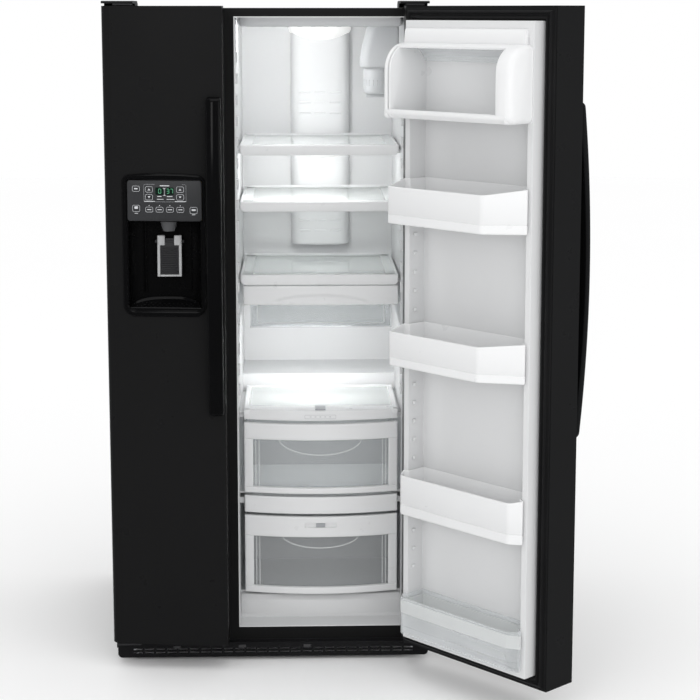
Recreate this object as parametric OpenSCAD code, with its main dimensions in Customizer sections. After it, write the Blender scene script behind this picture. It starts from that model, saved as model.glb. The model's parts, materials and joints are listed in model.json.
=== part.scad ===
// Side by side refrigerator with its fresh food door open. Millimetres, +Z up.
// Drawn in the cabinet's own frame: X = 0 at its middle, Y = 0 at its front face, Z = 0 at the floor.
// Both doors are drawn closed. The fresh food door is then swung open about its hinge pins.

/* [Cabinet] */
// Width of the cabinet
cabinet_width = 838; // [760:1:914]
// Depth of the cabinet behind its front face
cabinet_depth = 720; // [600:1:800]
// Height of the cabinet top
cabinet_top = 1720; // [1600:1:1800]
// Thickness of the insulated side walls
side_wall = 74; // [50:1:90]
// Middle of the divider between the two compartments
divider_x = -112; // [-160:1:-60]
// Width of the divider between the two compartments
divider_width = 46; // [36:1:70]
// Height of both compartment floors
floor_z = 83; // [70:1:110]
// Height of both compartment ceilings
ceiling_z = 1696; // [1600:1:1750]
// Depth of both compartments
cavity_depth = 600; // [500:1:640]

/* [Doors] */
// Height of the door bottoms
door_bottom = 69; // [60:1:90]
// Height of the door tops
door_top = 1725; // [1600:1:1800]
// Gap between the two doors
door_gap = 6.5; // [4:0.5:10]
// Distance of the doors' back sheet from the cabinet front
door_back = -14; // [-20:0.5:-10]
// Front of the doors at the cabinet's middle
door_front = -115; // [-130:1:-90]
// Radius of the doors' common convex front
front_radius = 2438; // [1500:1:6000]
// Hinge pin distance from the cabinet's middle
pivot_x = 379; // [360:1:400]
// Hinge pin distance in front of the cabinet
pivot_y = -61; // [-80:1:-30]
// Opening angle of the fresh food door
open_angle = 131.7; // [0:0.1:145]
// Radius of the doors' front corners on the hinge side
edge_radius = 16; // [5:1:25]
// Depth of the raised ring on the door liners
dyke = 42; // [20:1:50]

/* [Handles] */
// Height of the handle bottoms
handle_bottom = 686; // [600:1:750]
// Height of the handle tops
handle_top = 1500; // [1400:1:1600]
// Width of the handles
handle_width = 38; // [25:1:50]
// Reach of the handles at mid height
handle_bow = 50; // [35:1:70]

/* [Dispenser] */
// Left and right edges of the dispenser bezel
bezel_x = [-375, -163];
// Bottom and top edges of the dispenser bezel
bezel_z = [942, 1309];
// Bottom and top edges of the dispensing recess
recess_z = [960, 1185];

/* [Shelves] */
// Heights of the adjustable shelf tops
shelf_z = [1013, 1211, 1361];
// Front of the adjustable shelves
shelf_front = 135; // [100:1:200]
// Back of the adjustable shelves
shelf_back = 545; // [480:1:590]
// Front of the lower drawers at their middle
drawer_front = 66; // [50:1:120]
// Radius of the lower drawers' convex fronts
drawer_radius = 722; // [500:1:3000]

/* [Hidden] */
$fn = 48;

half_width = cabinet_width / 2;
sheet = 1.5;
skin = 1.2;
liner = 2.5;
eps = 1;
// Inner side walls of the two compartments
freezer_x = [-half_width + side_wall, divider_x - divider_width / 2];
fresh_x = [divider_x + divider_width / 2, half_width - side_wall];
fresh_mid = (fresh_x[0] + fresh_x[1]) / 2;
// Free edges of the two doors
door_split = -113.25;
freezer_edge = door_split - door_gap / 2;
fresh_edge = door_split + door_gap / 2;
// Step at the back of each compartment floor, as depth and height
freezer_step = [455, 330];
fresh_step = [400, 690];
// Machine compartment behind the steps
machine_x = half_width - 17.5;
machine_y = 500;
machine_top = 300;
wrapper_bottom = 26;
foam_bottom = 48;
// Turned rim round the back of each door's skin, and its wider part beside the eased corner
rim = 12;
eased_rim = 47;
// How far the doors' back corners on the hinge side are eased
corner_ease = 24;
// Lower drawers span these widths
drawer_x = [fresh_x[0] + 12, fresh_x[1] - 9];
// Back of the lower drawers
drawer_back = fresh_step[0] - 12;
// The posed object's bounding box bottom centre
origin_x = 179.5;
origin_y = 103;

// ---------- helpers ----------

module span(x, y, z) {
    translate([x[0], y[0], z[0]])
        cube([x[1] - x[0], y[1] - y[0], z[1] - z[0]]);
}

module rod_x(p, r, length) {
    translate(p)
        rotate([0, 90, 0])
            cylinder(r = r, h = length);
}

module rod_y(p, r, length) {
    translate(p)
        rotate([-90, 0, 0])
            cylinder(r = r, h = length);
}

module rod_z(p, r, length) {
    translate(p)
        cylinder(r = r, h = length);
}

module round_rect(x, z, r) {
    translate([x[0] + r, z[0]])
        square([x[1] - x[0] - 2 * r, z[1] - z[0]]);
    translate([x[0], z[0] + r])
        square([x[1] - x[0], z[1] - z[0] - 2 * r]);
    for (cx = [x[0] + r, x[1] - r], cz = [z[0] + r, z[1] - r])
        translate([cx, cz])
            circle(r = r);
}

// A rounded plate that faces the front, between two depths
module front_plate(x, y, z, r) {
    translate([0, y[1], 0])
        rotate([90, 0, 0])
            linear_extrude(y[1] - y[0])
                round_rect(x, z, r);
}

// A profile drawn as [depth, height], extruded across the width
module side_profile(x) {
    translate([x[0], 0, 0])
        rotate([90, 0, 90])
            linear_extrude(x[1] - x[0])
                children();
}

module place() {
    translate([-origin_x, -origin_y, 0])
        children();
}

// Swings a closed fresh food door to its resting angle
module swung() {
    place()
        translate([pivot_x, pivot_y, 0])
            rotate([0, 0, open_angle])
                translate([-pivot_x, -pivot_y, 0])
                    children();
}

// ---------- cabinet ----------

// A compartment's outline as [depth, height], grown outward by g
module cavity_outline(step, g) {
    polygon([[-eps, floor_z - g], [step[0] + g, floor_z - g], [step[0] + g, step[1] - g],
        [cavity_depth + g, step[1] - g], [cavity_depth + g, ceiling_z + g], [-eps, ceiling_z + g]]);
}

module cavity(x, step, g) {
    side_profile([x[0] - g, x[1] + g])
        cavity_outline(step, g);
}

// Machine compartment behind the steps, between thin foamed side walls
module machine_space() {
    span([-machine_x, machine_x], [machine_y, cabinet_depth + eps], [0, machine_top]);
}

module cabinet_wrapper() {
    color("#1b1b1d")
        difference() {
            span([-half_width, half_width], [0, cabinet_depth], [wrapper_bottom, cabinet_top]);
            span([-half_width + sheet, half_width - sheet], [sheet, cabinet_depth + eps],
                [0, cabinet_top - sheet]);
            // The two openings leave the divider's front strip between them
            for (x = [freezer_x, fresh_x])
                span([x[0] - liner, x[1] + liner], [-eps, 2 * sheet], [floor_z - liner, ceiling_z + liner]);
            span([-half_width + 30, half_width - 30], [-eps, 2 * sheet], [0, foam_bottom - 1]);
        }
}

module rear_panel() {
    color("#8d8f92")
        difference() {
            span([-half_width + sheet, half_width - sheet], [cabinet_depth - sheet, cabinet_depth],
                [machine_top, cabinet_top - sheet]);
            for (x = [-200, 200], z = [700, 1200])
                front_plate([x - 60, x + 60], [cabinet_depth - 2 * sheet, cabinet_depth - sheet + 0.6],
                    [z - 20, z + 20], 8);
        }
}

module insulation_foam() {
    color("#d9c27a")
        difference() {
            span([-half_width + sheet, half_width - sheet], [sheet, cabinet_depth - sheet],
                [foam_bottom, cabinet_top - sheet]);
            cavity(freezer_x, freezer_step, liner);
            cavity(fresh_x, fresh_step, liner);
            machine_space();
            span([-half_width, half_width], [cabinet_depth - 3.5, cabinet_depth], [0, machine_top]);
        }
}

module liner_shell(x, step) {
    difference() {
        intersection() {
            cavity(x, step, liner);
            span([-500, 500], [0, cabinet_depth], [0, cabinet_top]);
        }
        cavity(x, step, 0);
    }
}

// A moulded ledge on each side wall
module ledges(x, reach, y, z) {
    span([x[0] - 0.5, x[0] + reach], y, z);
    span([x[1] - reach, x[1] + 0.5], y, z);
}

module freezer_liner() {
    color("#e9eaea") {
        liner_shell(freezer_x, freezer_step);
        for (z = [750, 960, 1170])
            ledges(freezer_x, 9, [130, 500], [z - 18, z - 8.2]);
        for (z = [335, 555])
            ledges(freezer_x, 9, [100, 440], [z - 10, z - 0.2]);
        ledges(freezer_x, 14, [60, 440], [1290, 1299.8]);
    }
}

module fresh_food_liner() {
    color("#f1f2f2") {
        liner_shell(fresh_x, fresh_step);
        for (z = shelf_z)
            ledges(fresh_x, 10, [160, 540], [z - 24, z - 14.2]);
        ledges(fresh_x, 16, [112, drawer_back], [630, 641.2]);
        ledges(fresh_x, 24, [112, drawer_back], [420, 425.6]);
        ledges(fresh_x, 16, [112, drawer_back], [392, 407.8]);
        ledges(fresh_x, 24, [112, drawer_back], [138, 146.6]);
        // Stepped floor
        for (k = [1, 2])
            span([fresh_x[0] - 0.5, fresh_x[1] + 0.5], [40 + k * 32, fresh_step[0] + 0.5],
                [floor_z - 0.5, floor_z + k * 9]);
    }
}

module base_frame() {
    color("#3a3b3e") {
        difference() {
            span([-half_width + sheet, half_width - sheet], [sheet, cabinet_depth - 3],
                [wrapper_bottom + 2, foam_bottom]);
            span([-half_width + 30, half_width - 30], [30, 470], [0, 44]);
            span([-half_width + 30, half_width - 30], [520, 690], [wrapper_bottom + 4, 60]);
            for (x = [-380, 380])
                rod_z([x, 15, 0], 6.3, 80);
            for (x = [-1, 1])
                span([x * 385 - 14, x * 385 + 14], [560, 640], [0, 60]);
        }
        for (s = [-1, 1], x = [360, 402])
            difference() {
                span([s * x - 4, s * x + 4], [575, 625], [12, 30]);
                rod_x([s * x - 5, 600, 22], 4.05, 10);
            }
    }
}

module base_grille() {
    color("#151517")
        difference() {
            union() {
                front_plate([-413, 413], [-30, -24], [9, 48], 12);
                span([-340, 340], [-24.5, -0.1], [40, 46]);
            }
            for (i = [-12 : 12], k = [0, 1])
                span([i * 30 - 12, i * 30 + 12], [-31, -23], [19 + k * 9, 24 + k * 9]);
        }
}

module levelling_legs() {
    color("#77797c")
        for (x = [-380, 380]) {
            rod_z([x, 15, 8], 6, 38);
            rod_z([x, 15, 0], 16, 8);
            translate([x, 15, 14])
                cylinder(r = 11, h = 8, $fn = 6);
        }
}

module rear_rollers() {
    color("#4c4e52")
        for (x = [-385, 381]) {
            rod_x([x - 9, 600, 22], 22, 18);
            rod_x([x - 24, 600, 22], 4, 52);
        }
}

module hinge_brackets() {
    color("#6c6e71")
        for (s = [-1, 1]) {
            // Top bracket: plate on the cabinet, arm above the door and pin
            span([s * 368 - 25, s * 368 + 25], [4, 70], [cabinet_top, cabinet_top + 9.5]);
            span([s * 368 - 22, s * 368 + 22], [-78, 20], [door_top + 2, door_top + 5.5]);
            rod_z([s * pivot_x, pivot_y, door_top - 22], 6, 27);
            // Bottom bracket: foot on the cabinet front, arm under the door and pin
            span([s * 378 - 32, s * 378 + 32], [-3, -0.1], [28, 66]);
            span([s * 378 - 32, s * 378 + 32], [-78, -2], [door_bottom - 8, door_bottom - 3]);
            rod_z([s * pivot_x, pivot_y, door_bottom - 8], 6, 30);
        }
}

module hinge_covers() {
    color("#141416")
        for (x = [[-419, -340], [330, 403]])
            difference() {
                side_profile(x)
                    polygon([[-74, door_top + 6], [-74, door_top + 10], [-66, door_top + 12.5],
                        [60, door_top + 12.5], [78, door_top + 4], [78, cabinet_top + 0.2],
                        [4, cabinet_top + 0.2], [0, door_top + 6]]);
                side_profile([x[0] + 2, x[1] - 2])
                    polygon([[-72, door_top + 5.8], [-72, door_top + 8], [-64, door_top + 10.5],
                        [59, door_top + 10.5], [76, door_top + 2.5], [76, cabinet_top],
                        [4, cabinet_top], [-2, door_top + 5.8]]);
            }
}

// ---------- fresh food interior ----------

module air_tower() {
    x = fresh_mid + 8;
    color("#f4f5f5")
        difference() {
            union() {
                span([x - 84, x + 84], [cavity_depth - 45, cavity_depth], [1040, 1690]);
                // Rounded light housings at the top of the tower and under the top shelf
                for (z = [[1600, 1688], [1286, 1322]])
                    intersection() {
                        rod_z([x, cavity_depth - 15, z[0]], 93, z[1] - z[0]);
                        span([-500, 500], [0, cavity_depth], [0, 2000]);
                    }
            }
            for (z = [1080, 1140, 1420, 1480], k = [-52, 0, 52])
                span([x + k - 18, x + k + 18], [cavity_depth - 50, cavity_depth - 38], [z, z + 8]);
            span([x - 76, x + 76], [cavity_depth - 38, cavity_depth - 4], [1050, 1682]);
        }
}

module ceiling_light_shield() {
    color("#d3d5d6")
        difference() {
            span([fresh_x[0] + 8, fresh_x[1] - 6], [40, 330], [ceiling_z - 24, ceiling_z - 0.2]);
            span([fresh_x[0] + 12, fresh_x[1] - 10], [44, 326], [ceiling_z - 21, ceiling_z + 1]);
            for (i = [-4 : 4])
                span([fresh_mid + i * 36 - 10, fresh_mid + i * 36 + 10], [150, 260],
                    [ceiling_z - 25, ceiling_z - 20]);
        }
}

module water_filter_housing() {
    color("#eff0f0")
        difference() {
            union() {
                rod_z([287, 300, 1560], 46, 110);
                span([270, 335], [290, 350], [1580, ceiling_z - 26]);
                span([287, fresh_x[1]], [280, 320], [1585, 1650]);
            }
            rod_z([287, 300, 1559], 36.3, 60);
        }
}

module water_filter_cartridge() {
    color("#f7f7f7") {
        rod_z([287, 300, 1494], 36, 122);
        rod_z([287, 300, 1488], 32, 8);
        span([256, 318], [297, 303], [1478, 1492]);
    }
}

// Frame of one adjustable shelf, with its front band
module shelf_frame(z) {
    x = [fresh_x[0] + 6, fresh_x[1] - 6];
    difference() {
        span(x, [shelf_front, shelf_back], [z - 14, z]);
        span([x[0] + 12, x[1] - 12], [shelf_front + 14, shelf_back - 12], [z - 20, z + 1]);
        span([x[0] + 6, x[1] - 6], [shelf_front + 9, shelf_back - 6], [z - 5, z + 1]);
    }
    span(x, [shelf_front, shelf_front + 5], [z - 28, z - 13]);
}

module shelf_frames() {
    color("#eef0f1") {
        for (z = shelf_z)
            shelf_frame(z);
        // Hanger rails for the snack pan
        for (x = [[-73, -69], [331, 335]])
            span(x, [shelf_front + 16, 500], [shelf_z[0] - 50, shelf_z[0] - 13]);
        for (x = [[-73, -63], [325, 335]])
            span(x, [shelf_front + 16, 500], [shelf_z[0] - 52, shelf_z[0] - 46.4]);
    }
}

module shelf_glass() {
    color("#cfe3e6", 0.4) {
        for (z = shelf_z)
            span([fresh_x[0] + 12.5, fresh_x[1] - 12.5], [shelf_front + 9.5, shelf_back - 6.5], [z - 5, z - 1]);
        span([drawer_x[0] + 14.5, drawer_x[1] - 14.5], [126, drawer_back - 8.5], [651, 655]);
    }
}

// Plan of the lower drawers: a rectangle with a convex front, set back by g
module drawer_plan(g, inset, back) {
    intersection() {
        translate([drawer_x[0] + inset, 0])
            square([drawer_x[1] - drawer_x[0] - 2 * inset, back]);
        translate([fresh_mid, drawer_front + g + drawer_radius])
            circle(r = drawer_radius, $fn = 240);
    }
}

module drawer_slab(g, inset, back, z) {
    translate([0, 0, z[0]])
        linear_extrude(z[1] - z[0])
            drawer_plan(g, inset, back);
}

module drawer_covers() {
    color("#e7e8e9") {
        // Crisper cover: a frame that carries a glass pane
        difference() {
            drawer_slab(0, 0, drawer_back, [641.4, 655.5]);
            span([drawer_x[0] + 20, drawer_x[1] - 20], [134, drawer_back - 14], [600, 700]);
            span([drawer_x[0] + 14, drawer_x[1] - 14], [125, drawer_back - 8], [651, 700]);
        }
        difference() {
            drawer_slab(0, 0, 140, [628, 642]);
            drawer_slab(6, -2, 141, [600, 641.4]);
        }
        // Meat pan cover
        drawer_slab(0, 0, drawer_back, [408, 418]);
        difference() {
            drawer_slab(0, 0, 150, [371, 409]);
            drawer_slab(6, -2, 151, [360, 408]);
        }
    }
}

// Clear pan of a lower drawer
module lower_pan(z) {
    difference() {
        drawer_slab(12.4, 8, drawer_back - 6, z);
        drawer_slab(15.4, 11, drawer_back - 9, [z[0] + 3, z[1] + 1]);
    }
    for (x = [[drawer_x[0] + 3, drawer_x[0] + 9], [drawer_x[1] - 9, drawer_x[1] - 3]])
        span(x, [120, drawer_back - 6], [z[1] - 5, z[1]]);
}

// White front frame of a lower drawer: header, side frames and bottom lip round a window
module lower_front(header, window, lip) {
    difference() {
        drawer_slab(0, 0, 200, [lip, header]);
        drawer_slab(12, -2, 201, [lip - 1, header + 1]);
        span([drawer_x[0] + 24, drawer_x[1] - 24], [0, 200], window);
        // Finger recess behind the header's lower edge
        drawer_slab(8, 60, 90, [window[1] - 1, window[1] + 22]);
    }
}

module crisper_pan() {
    color("#dfe9ec", 0.4)
        lower_pan([426, 612]);
}

module crisper_front() {
    color("#f0f1f1")
        lower_front(619, [443, 574], 426.5);
}

module meat_pan() {
    color("#dfe9ec", 0.4)
        lower_pan([147, 355]);
}

module meat_pan_front() {
    color("#f0f1f1")
        difference() {
            lower_front(363, [166, 306], 147.5);
            span([fresh_mid - 42, fresh_mid + 42], [drawer_front - 2, drawer_front + 4.4], [334, 346]);
        }
}

module humidity_slider() {
    color("#dcdedf")
        span([fresh_mid - 14, fresh_mid + 14], [72.3, 120], [656, 659.5]);
}

module temperature_slider() {
    color("#dcdedf")
        span([fresh_mid - 12, fresh_mid + 12], [drawer_front + 0.6, drawer_front + 4.1], [334.4, 345.6]);
}

module snack_pan() {
    color("#dfe9ec", 0.4) {
        difference() {
            span([-60, 322], [148, 500], [868, 972]);
            span([-57, 319], [151, 497], [871, 973]);
        }
        span([-67.6, -59.5], [152, 496], [967, 972]);
        span([321.5, 329.6], [152, 496], [967, 972]);
    }
}

module snack_pan_front() {
    color("#f0f1f1")
        difference() {
            intersection() {
                span([-77, 339], [100, 147.6], [931, 983]);
                translate([fresh_mid, shelf_front - 6 + 1500, 0])
                    cylinder(r = 1500, h = 2000, $fn = 400);
            }
            span([40, 220], [140, 150], [925, 948]);
        }
}

// ---------- freezer interior ----------

module wire_shelf(z) {
    span([-340, -140], [120, 128], [z - 12, z]);
    span([-340, -140], [500, 508], [z - 8, z]);
    for (x = [-340, -146])
        span([x, x + 6], [120, 508], [z - 8, z]);
    for (i = [1 : 9])
        span([-340 + i * 19.8 - 1.5, -340 + i * 19.8 + 1.5], [122, 505], [z - 6, z - 2]);
}

module freezer_shelves() {
    color("#e3e5e6")
        for (z = [750, 960, 1170])
            wire_shelf(z);
}

module freezer_basket(z, height) {
    difference() {
        span([-332, -148], [96, 440], [z, z + height]);
        span([-329, -151], [99, 437], [z + 3, z + height + 1]);
        for (i = [0 : 7])
            span([-320 + i * 21.5, -308 + i * 21.5], [90, 100], [z + 25, z + height - 30]);
    }
    span([-341, -331], [100, 440], [z + height - 6, z + height]);
    span([-149, -139], [100, 440], [z + height - 6, z + height]);
}

module freezer_baskets() {
    color("#e8eaeb") {
        freezer_basket(130, 211);
        freezer_basket(380, 181);
    }
}

module ice_maker() {
    color("#b9bcc0") {
        // Mould with its cups
        difference() {
            span([-322, -232], [190, 440], [1545, 1585]);
            for (i = [0 : 6])
                span([-314, -240], [198 + i * 34, 226 + i * 34], [1556, 1590]);
        }
        // Control head
        difference() {
            span([-330, -150], [130, 190.5], [1500, 1620]);
            rod_y([-194, 176, 1556], 4.06, 20);
        }
        span([-228, -200], [190, 440], [1575, 1600]);
        span([-240, -226], [190, 440], [1575, 1583]);
        // Mounting plate
        span([freezer_x[0], -335], [200, 430], [1560, 1640]);
        span([-336, -321], [220, 260], [1565, 1580]);
        span([-336, -321], [380, 420], [1565, 1580]);
    }
}

module ice_maker_arm() {
    color("#d8dadc") {
        span([-196, -192], [193, 200], [1512, 1560]);
        span([-196, -192], [193, 430], [1508, 1514]);
        rod_y([-194, 178, 1556], 4, 22);
    }
}

module ice_bucket() {
    color("#e5eef0", 0.6)
        difference() {
            union() {
                difference() {
                    span([-334, -146], [66, 460], [1300, 1480]);
                    span([-331, -149], [69, 457], [1303, 1481]);
                }
                rod_y([-240, 67, 1345], 11, 15);
            }
            // Outlet above the chute in the door
            span([-300, -210], [86, 130], [1299, 1304]);
            // Bearings for the auger
            rod_y([-240, 70, 1345], 6.06, 13);
            rod_y([-240, 456, 1345], 6.06, 8);
        }
}

module ice_auger() {
    color("#9a9da1") {
        rod_y([-240, 72, 1345], 6, 402);
        for (i = [0 : 8])
            intersection() {
                rod_y([-240, 140 + i * 34, 1345], 34, 4);
                translate([-240, 138 + i * 34, 1345])
                    rotate([0, i * 60, 0])
                        translate([-40, 0, -17])
                            cube([80, 8, 34]);
            }
        rod_y([-240, 461, 1345], 20, 12);
    }
}

module evaporator() {
    color("#b4b7ba") {
        for (i = [0 : 23])
            span([-328, -152], [535, 588], [460 + i * 14, 460.8 + i * 14]);
        for (x = [-332, -150])
            span([x, x + 2], [533, cavity_depth], [455, 790]);
        for (i = [0 : 5], y = [548, 575])
            rod_x([-340, y, 471 + i * 56], 4, 200);
        // Defrost heater under the fins
        rod_x([-335, 562, 430], 5, 190);
        for (x = [-330, -152])
            span([x, x + 3], [556, 568], [424, 456]);
    }
}

module evaporator_cover() {
    color("#e6e7e8")
        difference() {
            union() {
                span([freezer_x[0] + 1, freezer_x[1] - 1], [515, 518], [330.2, ceiling_z - 1]);
                rod_y([-240, 517, 1000], 62, 9);
                // Fan motor on its strap
                rod_y([-240, 556, 1000], 20, 26);
                span([-310, -170], [572, 578], [993, 1007]);
                for (x = [-310, -176])
                    span([x, x + 6], [517, 578], [993, 1007]);
                // Auger drive
                span([-272, -208], [482, 516], [1313, 1377]);
            }
            rod_y([-240, 510, 1000], 56, 20);
            rod_y([-240, 555, 1000], 5.06, 20);
            for (i = [0 : 7], z = [430, 1640])
                span([-330 + i * 23, -318 + i * 23], [510, 520], [z, z + 34]);
        }
}

// A bladed fan with its hub and shaft along the depth axis
module fan(r, blades, shaft) {
    rod_y([0, 0, 0], r * 0.32, 14);
    rod_y([0, 13, 0], 5, shaft);
    for (i = [0 : blades - 1])
        rotate([0, i * 360 / blades, 0])
            translate([r * 0.25, 7, 0])
                rotate([35, 0, 0])
                    translate([0, -1, -r * 0.16])
                        cube([r * 0.72, 2, r * 0.32]);
}

module evaporator_fan() {
    color("#3f4144")
        translate([-240, 535, 1000])
            fan(52, 5, 24);
}

// ---------- machine compartment ----------

module compressor() {
    deck = wrapper_bottom + 4;
    color("#1f2022") {
        translate([210, 600, 60])
            cylinder(r = 82, h = 100);
        translate([210, 600, 159])
            cylinder(r = 74, h = 23);
        translate([210, 600, 181])
            cylinder(r = 56, h = 12);
        span([130, 290], [540, 660], [50, 61]);
        for (x = [140, 280], y = [550, 650])
            rod_z([x, y, deck], 9, 21);
        span([288, 318], [575, 625], [80, 150]);
        rod_z([240, 600, 190], 5, 45);
    }
}

module condenser_coil() {
    deck = wrapper_bottom + 4;
    color("#26272a") {
        for (k = [0 : 3], i = [0 : 4])
            rod_x([-396, 530 + i * 36, 70 + k * 44], 3.2, 300);
        for (x = [-352, -250])
            span([x, x + 2], [522, 688], [deck, 214]);
        // Fan shroud, with the motor on its strap
        difference() {
            span([-98, -96], [522, 688], [deck, 214]);
            rod_x([-99, 602, 122], 70, 5);
        }
        difference() {
            union() {
                rod_x([-22, 602, 122], 22, 30);
                span([-4, 4], [522, 688], [114, 130]);
                for (y = [522, 682])
                    span([-97, 4], [y, y + 6], [114, 130]);
            }
            rod_x([-23, 602, 122], 5.06, 20);
        }
    }
}

module condenser_fan() {
    color("#303235")
        translate([-62, 602, 122])
            rotate([0, 0, -90])
                fan(64, 5, 40);
}

module machine_cover() {
    color("#9b9da0")
        difference() {
            span([-half_width + 4, half_width - 4], [cabinet_depth - 3, cabinet_depth], [50, machine_top - 0.5]);
            for (i = [-12 : 12], k = [0 : 3])
                span([i * 30 - 11, i * 30 + 11], [cabinet_depth - 5, cabinet_depth + 1],
                    [90 + k * 18, 98 + k * 18]);
            front_plate([330, 372], [cabinet_depth - 5, cabinet_depth + 1], [230, 262], 4);
            for (x = [-400, -200, 0, 200, 400])
                rod_y([x, cabinet_depth - 5, 286], 2.5, 10);
        }
}

module power_inlet() {
    color("#17181a") {
        difference() {
            front_plate([330.4, 371.6], [680, cabinet_depth], [230.4, 261.6], 3.8);
            front_plate([335, 367], [700, cabinet_depth + 1], [235, 257], 3);
        }
        for (x = [343, 351, 359])
            span([x - 1, x + 1], [698, 714], [243, 249]);
    }
}

// ---------- doors ----------

// Half plane beyond a line that stands off a corner by d, facing the angle a
module corner_cut(corner, hinge_side, a, d) {
    translate(corner)
        rotate(hinge_side > 0 ? a : 180 - a)
            translate([-d, -60])
                square([60, 120]);
}

// Plan of a door between two widths, inset by g on the front and sides
module door_plan(x, hinge_side, g) {
    edge = hinge_side < 0 ? x[0] : x[1];
    front = door_front + edge * edge / 2 / front_radius;
    difference() {
        intersection() {
            translate([x[0] + g, -160])
                square([x[1] - x[0] - 2 * g, 160 + door_back]);
            translate([0, door_front + front_radius])
                circle(r = front_radius - g, $fn = 720);
        }
        // Rounded front corner on the hinge side
        for (a = [-68, -45, -22])
            corner_cut([edge, front], hinge_side, a, edge_radius * (cos(a) - sin(a) - 1) + g);
        // Back corner, eased so that the open door leaves room for the drawers
        corner_cut([edge, door_back], hinge_side, 51, corner_ease + g);
    }
}

// Everything behind the doors' convex front, raised by g
module contour(g) {
    translate([0, door_front + front_radius, 60])
        cylinder(r = front_radius + g, h = 1700, $fn = 720);
}

module door_block(x, hinge_side, g, z) {
    translate([0, 0, z[0] + g])
        linear_extrude(z[1] - z[0] - 2 * g)
            door_plan(x, hinge_side, g);
}

// Everything behind the liner's visible face, inset by g: flat rim, raised ring and sunk pan
module door_form(x, g, ring_z) {
    difference() {
        union() {
            span([x[0] - 60, x[1] + 60], [-200, door_back - g], [0, 2000]);
            span([x[0] + g, x[1] - g], [-200, door_back + dyke - g], [ring_z[0] + g, ring_z[1] - g]);
        }
        span([x[0] + 16 - g, x[1] - 16 + g], [door_back - 12 - g, 200],
            [ring_z[0] + 16 - g, ring_z[1] - 38 + g]);
    }
}

freezer_ring = [freezer_x[0] + 5, freezer_edge - 33];
fresh_ring = [fresh_edge + 33, fresh_x[1] - 5];
ring_z = [104, 1690];

// Width of the opening in the back of a door's skin, set further in beside the eased corner
function skin_opening(x, hinge_side) =
    hinge_side < 0 ? [x[0] + eased_rim, x[1] - rim] : [x[0] + rim, x[1] - eased_rim];

rim_z = [door_bottom + rim, door_top - rim];

// Steel outer skin of a door, open at the back, with bores for its two hinge pins
module door_skin(x, hinge_side) {
    difference() {
        door_block(x, hinge_side, 0, [door_bottom, door_top]);
        difference() {
            door_block(x, hinge_side, skin, [door_bottom, door_top]);
            span([x[0], x[1]], [door_back - 1, 0], [0, 2000]);
        }
        span(skin_opening(x, hinge_side), [door_back - 20, 10], rim_z);
        pin_bores(hinge_side);
    }
}

module pin_bores(hinge_side) {
    for (z = [door_bottom - 1, door_top - 24])
        rod_z([hinge_side * pivot_x, pivot_y, z], 6.06, 25);
}

module door_foam(x, hinge_side, ring) {
    difference() {
        intersection() {
            union() {
                door_block(x, hinge_side, skin, [door_bottom, door_top]);
                span(ring, [door_back - 2, 200], ring_z);
            }
            door_form(ring, 2, ring_z);
        }
        // The foam stops short of the skin's turned rim
        difference() {
            span([x[0] - 1, x[1] + 1], [door_back - 2.1, door_back + 1], [0, 2000]);
            span(skin_opening(x, hinge_side), [door_back - 20, 10], rim_z);
        }
        pin_bores(hinge_side);
    }
}

module door_liner(x, hinge_side, ring) {
    difference() {
        intersection() {
            door_form(ring, 0, ring_z);
            union() {
                span(skin_opening(x, hinge_side), [-200, door_back], rim_z);
                span(ring, [door_back - 60, 200], ring_z);
            }
        }
        door_form(ring, 2, ring_z);
    }
}

// Magnetic gasket: a flat base and a narrower bulb
module door_gasket(ring) {
    x = [ring[0] - 32, ring[1] + 32];
    z = [ring_z[0] - 30, ring_z[1] + 30];
    difference() {
        union() {
            span(x, [door_back + 0.1, door_back + 5], z);
            span([x[0] + 5, x[1] - 5], [door_back + 5, door_back + 12.5], [z[0] + 5, z[1] - 5]);
        }
        span([ring[0] - 1, ring[1] + 1], [-100, 100], [ring_z[0] - 1, ring_z[1] + 1]);
        difference() {
            span([x[0] + 12, x[1] - 12], [door_back + 4.9, 0], [z[0] + 12, z[1] - 12]);
            span([x[0] + 17, x[1] - 17], [-100, 100], [z[0] + 17, z[1] - 17]);
        }
    }
}

// Bowed bar handle with a foot at each end
module door_handle(x) {
    length = handle_top - handle_bottom;
    mid_z = (handle_top + handle_bottom) / 2;
    face = door_front + (x[0] + x[1]) * (x[0] + x[1]) / 8 / front_radius;
    outer_r = length * length / 8 / (handle_bow - 20);
    inner_r = length * length / 8 / 36;
    difference() {
        side_profile(x)
            difference() {
                intersection() {
                    translate([face - handle_bow, handle_bottom])
                        square([handle_bow - 0.3, length]);
                    translate([face - handle_bow + outer_r, mid_z])
                        circle(r = outer_r, $fn = 720);
                }
                translate([face - 26 + inner_r, mid_z])
                    circle(r = inner_r, $fn = 720);
            }
        // The door's own convex front
        translate([0, door_front - 0.3 + front_radius, handle_bottom - 1])
            cylinder(r = front_radius, h = length + 2, $fn = 720);
        // Eased front edges
        for (k = [0, 1])
            translate([x[k], face - handle_bow - 12, handle_bottom - 1])
                rotate([0, 0, 45])
                    translate([-6, -6, 0])
                        cube([12, 12, length + 2]);
    }
}

// ---------- freezer door ----------

freezer_door_x = [-half_width, freezer_edge];
recess_x = [-359, -179];
nozzle_x = -258;

// Slanting way for the ice, from the bucket down to the nozzle
module ice_chute_bore(r) {
    translate([nozzle_x, 40, 1297])
        rotate([134, 0, 0])
            translate([0, 0, -30])
                cylinder(r = r, h = 162);
}

// Room in the door for the dispenser housing, with a clearance g
module dispenser_pocket(g) {
    difference() {
        front_plate([bezel_x[0] + 6 - g, bezel_x[1] - 6 + g], [-140, -60],
            [bezel_z[0] + 6 - g, bezel_z[1] - 6 + g], 20);
        contour(-10 - g);
    }
    span([recess_x[0] - 5 - g, recess_x[1] + 5 + g], [-140, -34 + g], [recess_z[0] - 5 - g, 1291 + g]);
}

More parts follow.
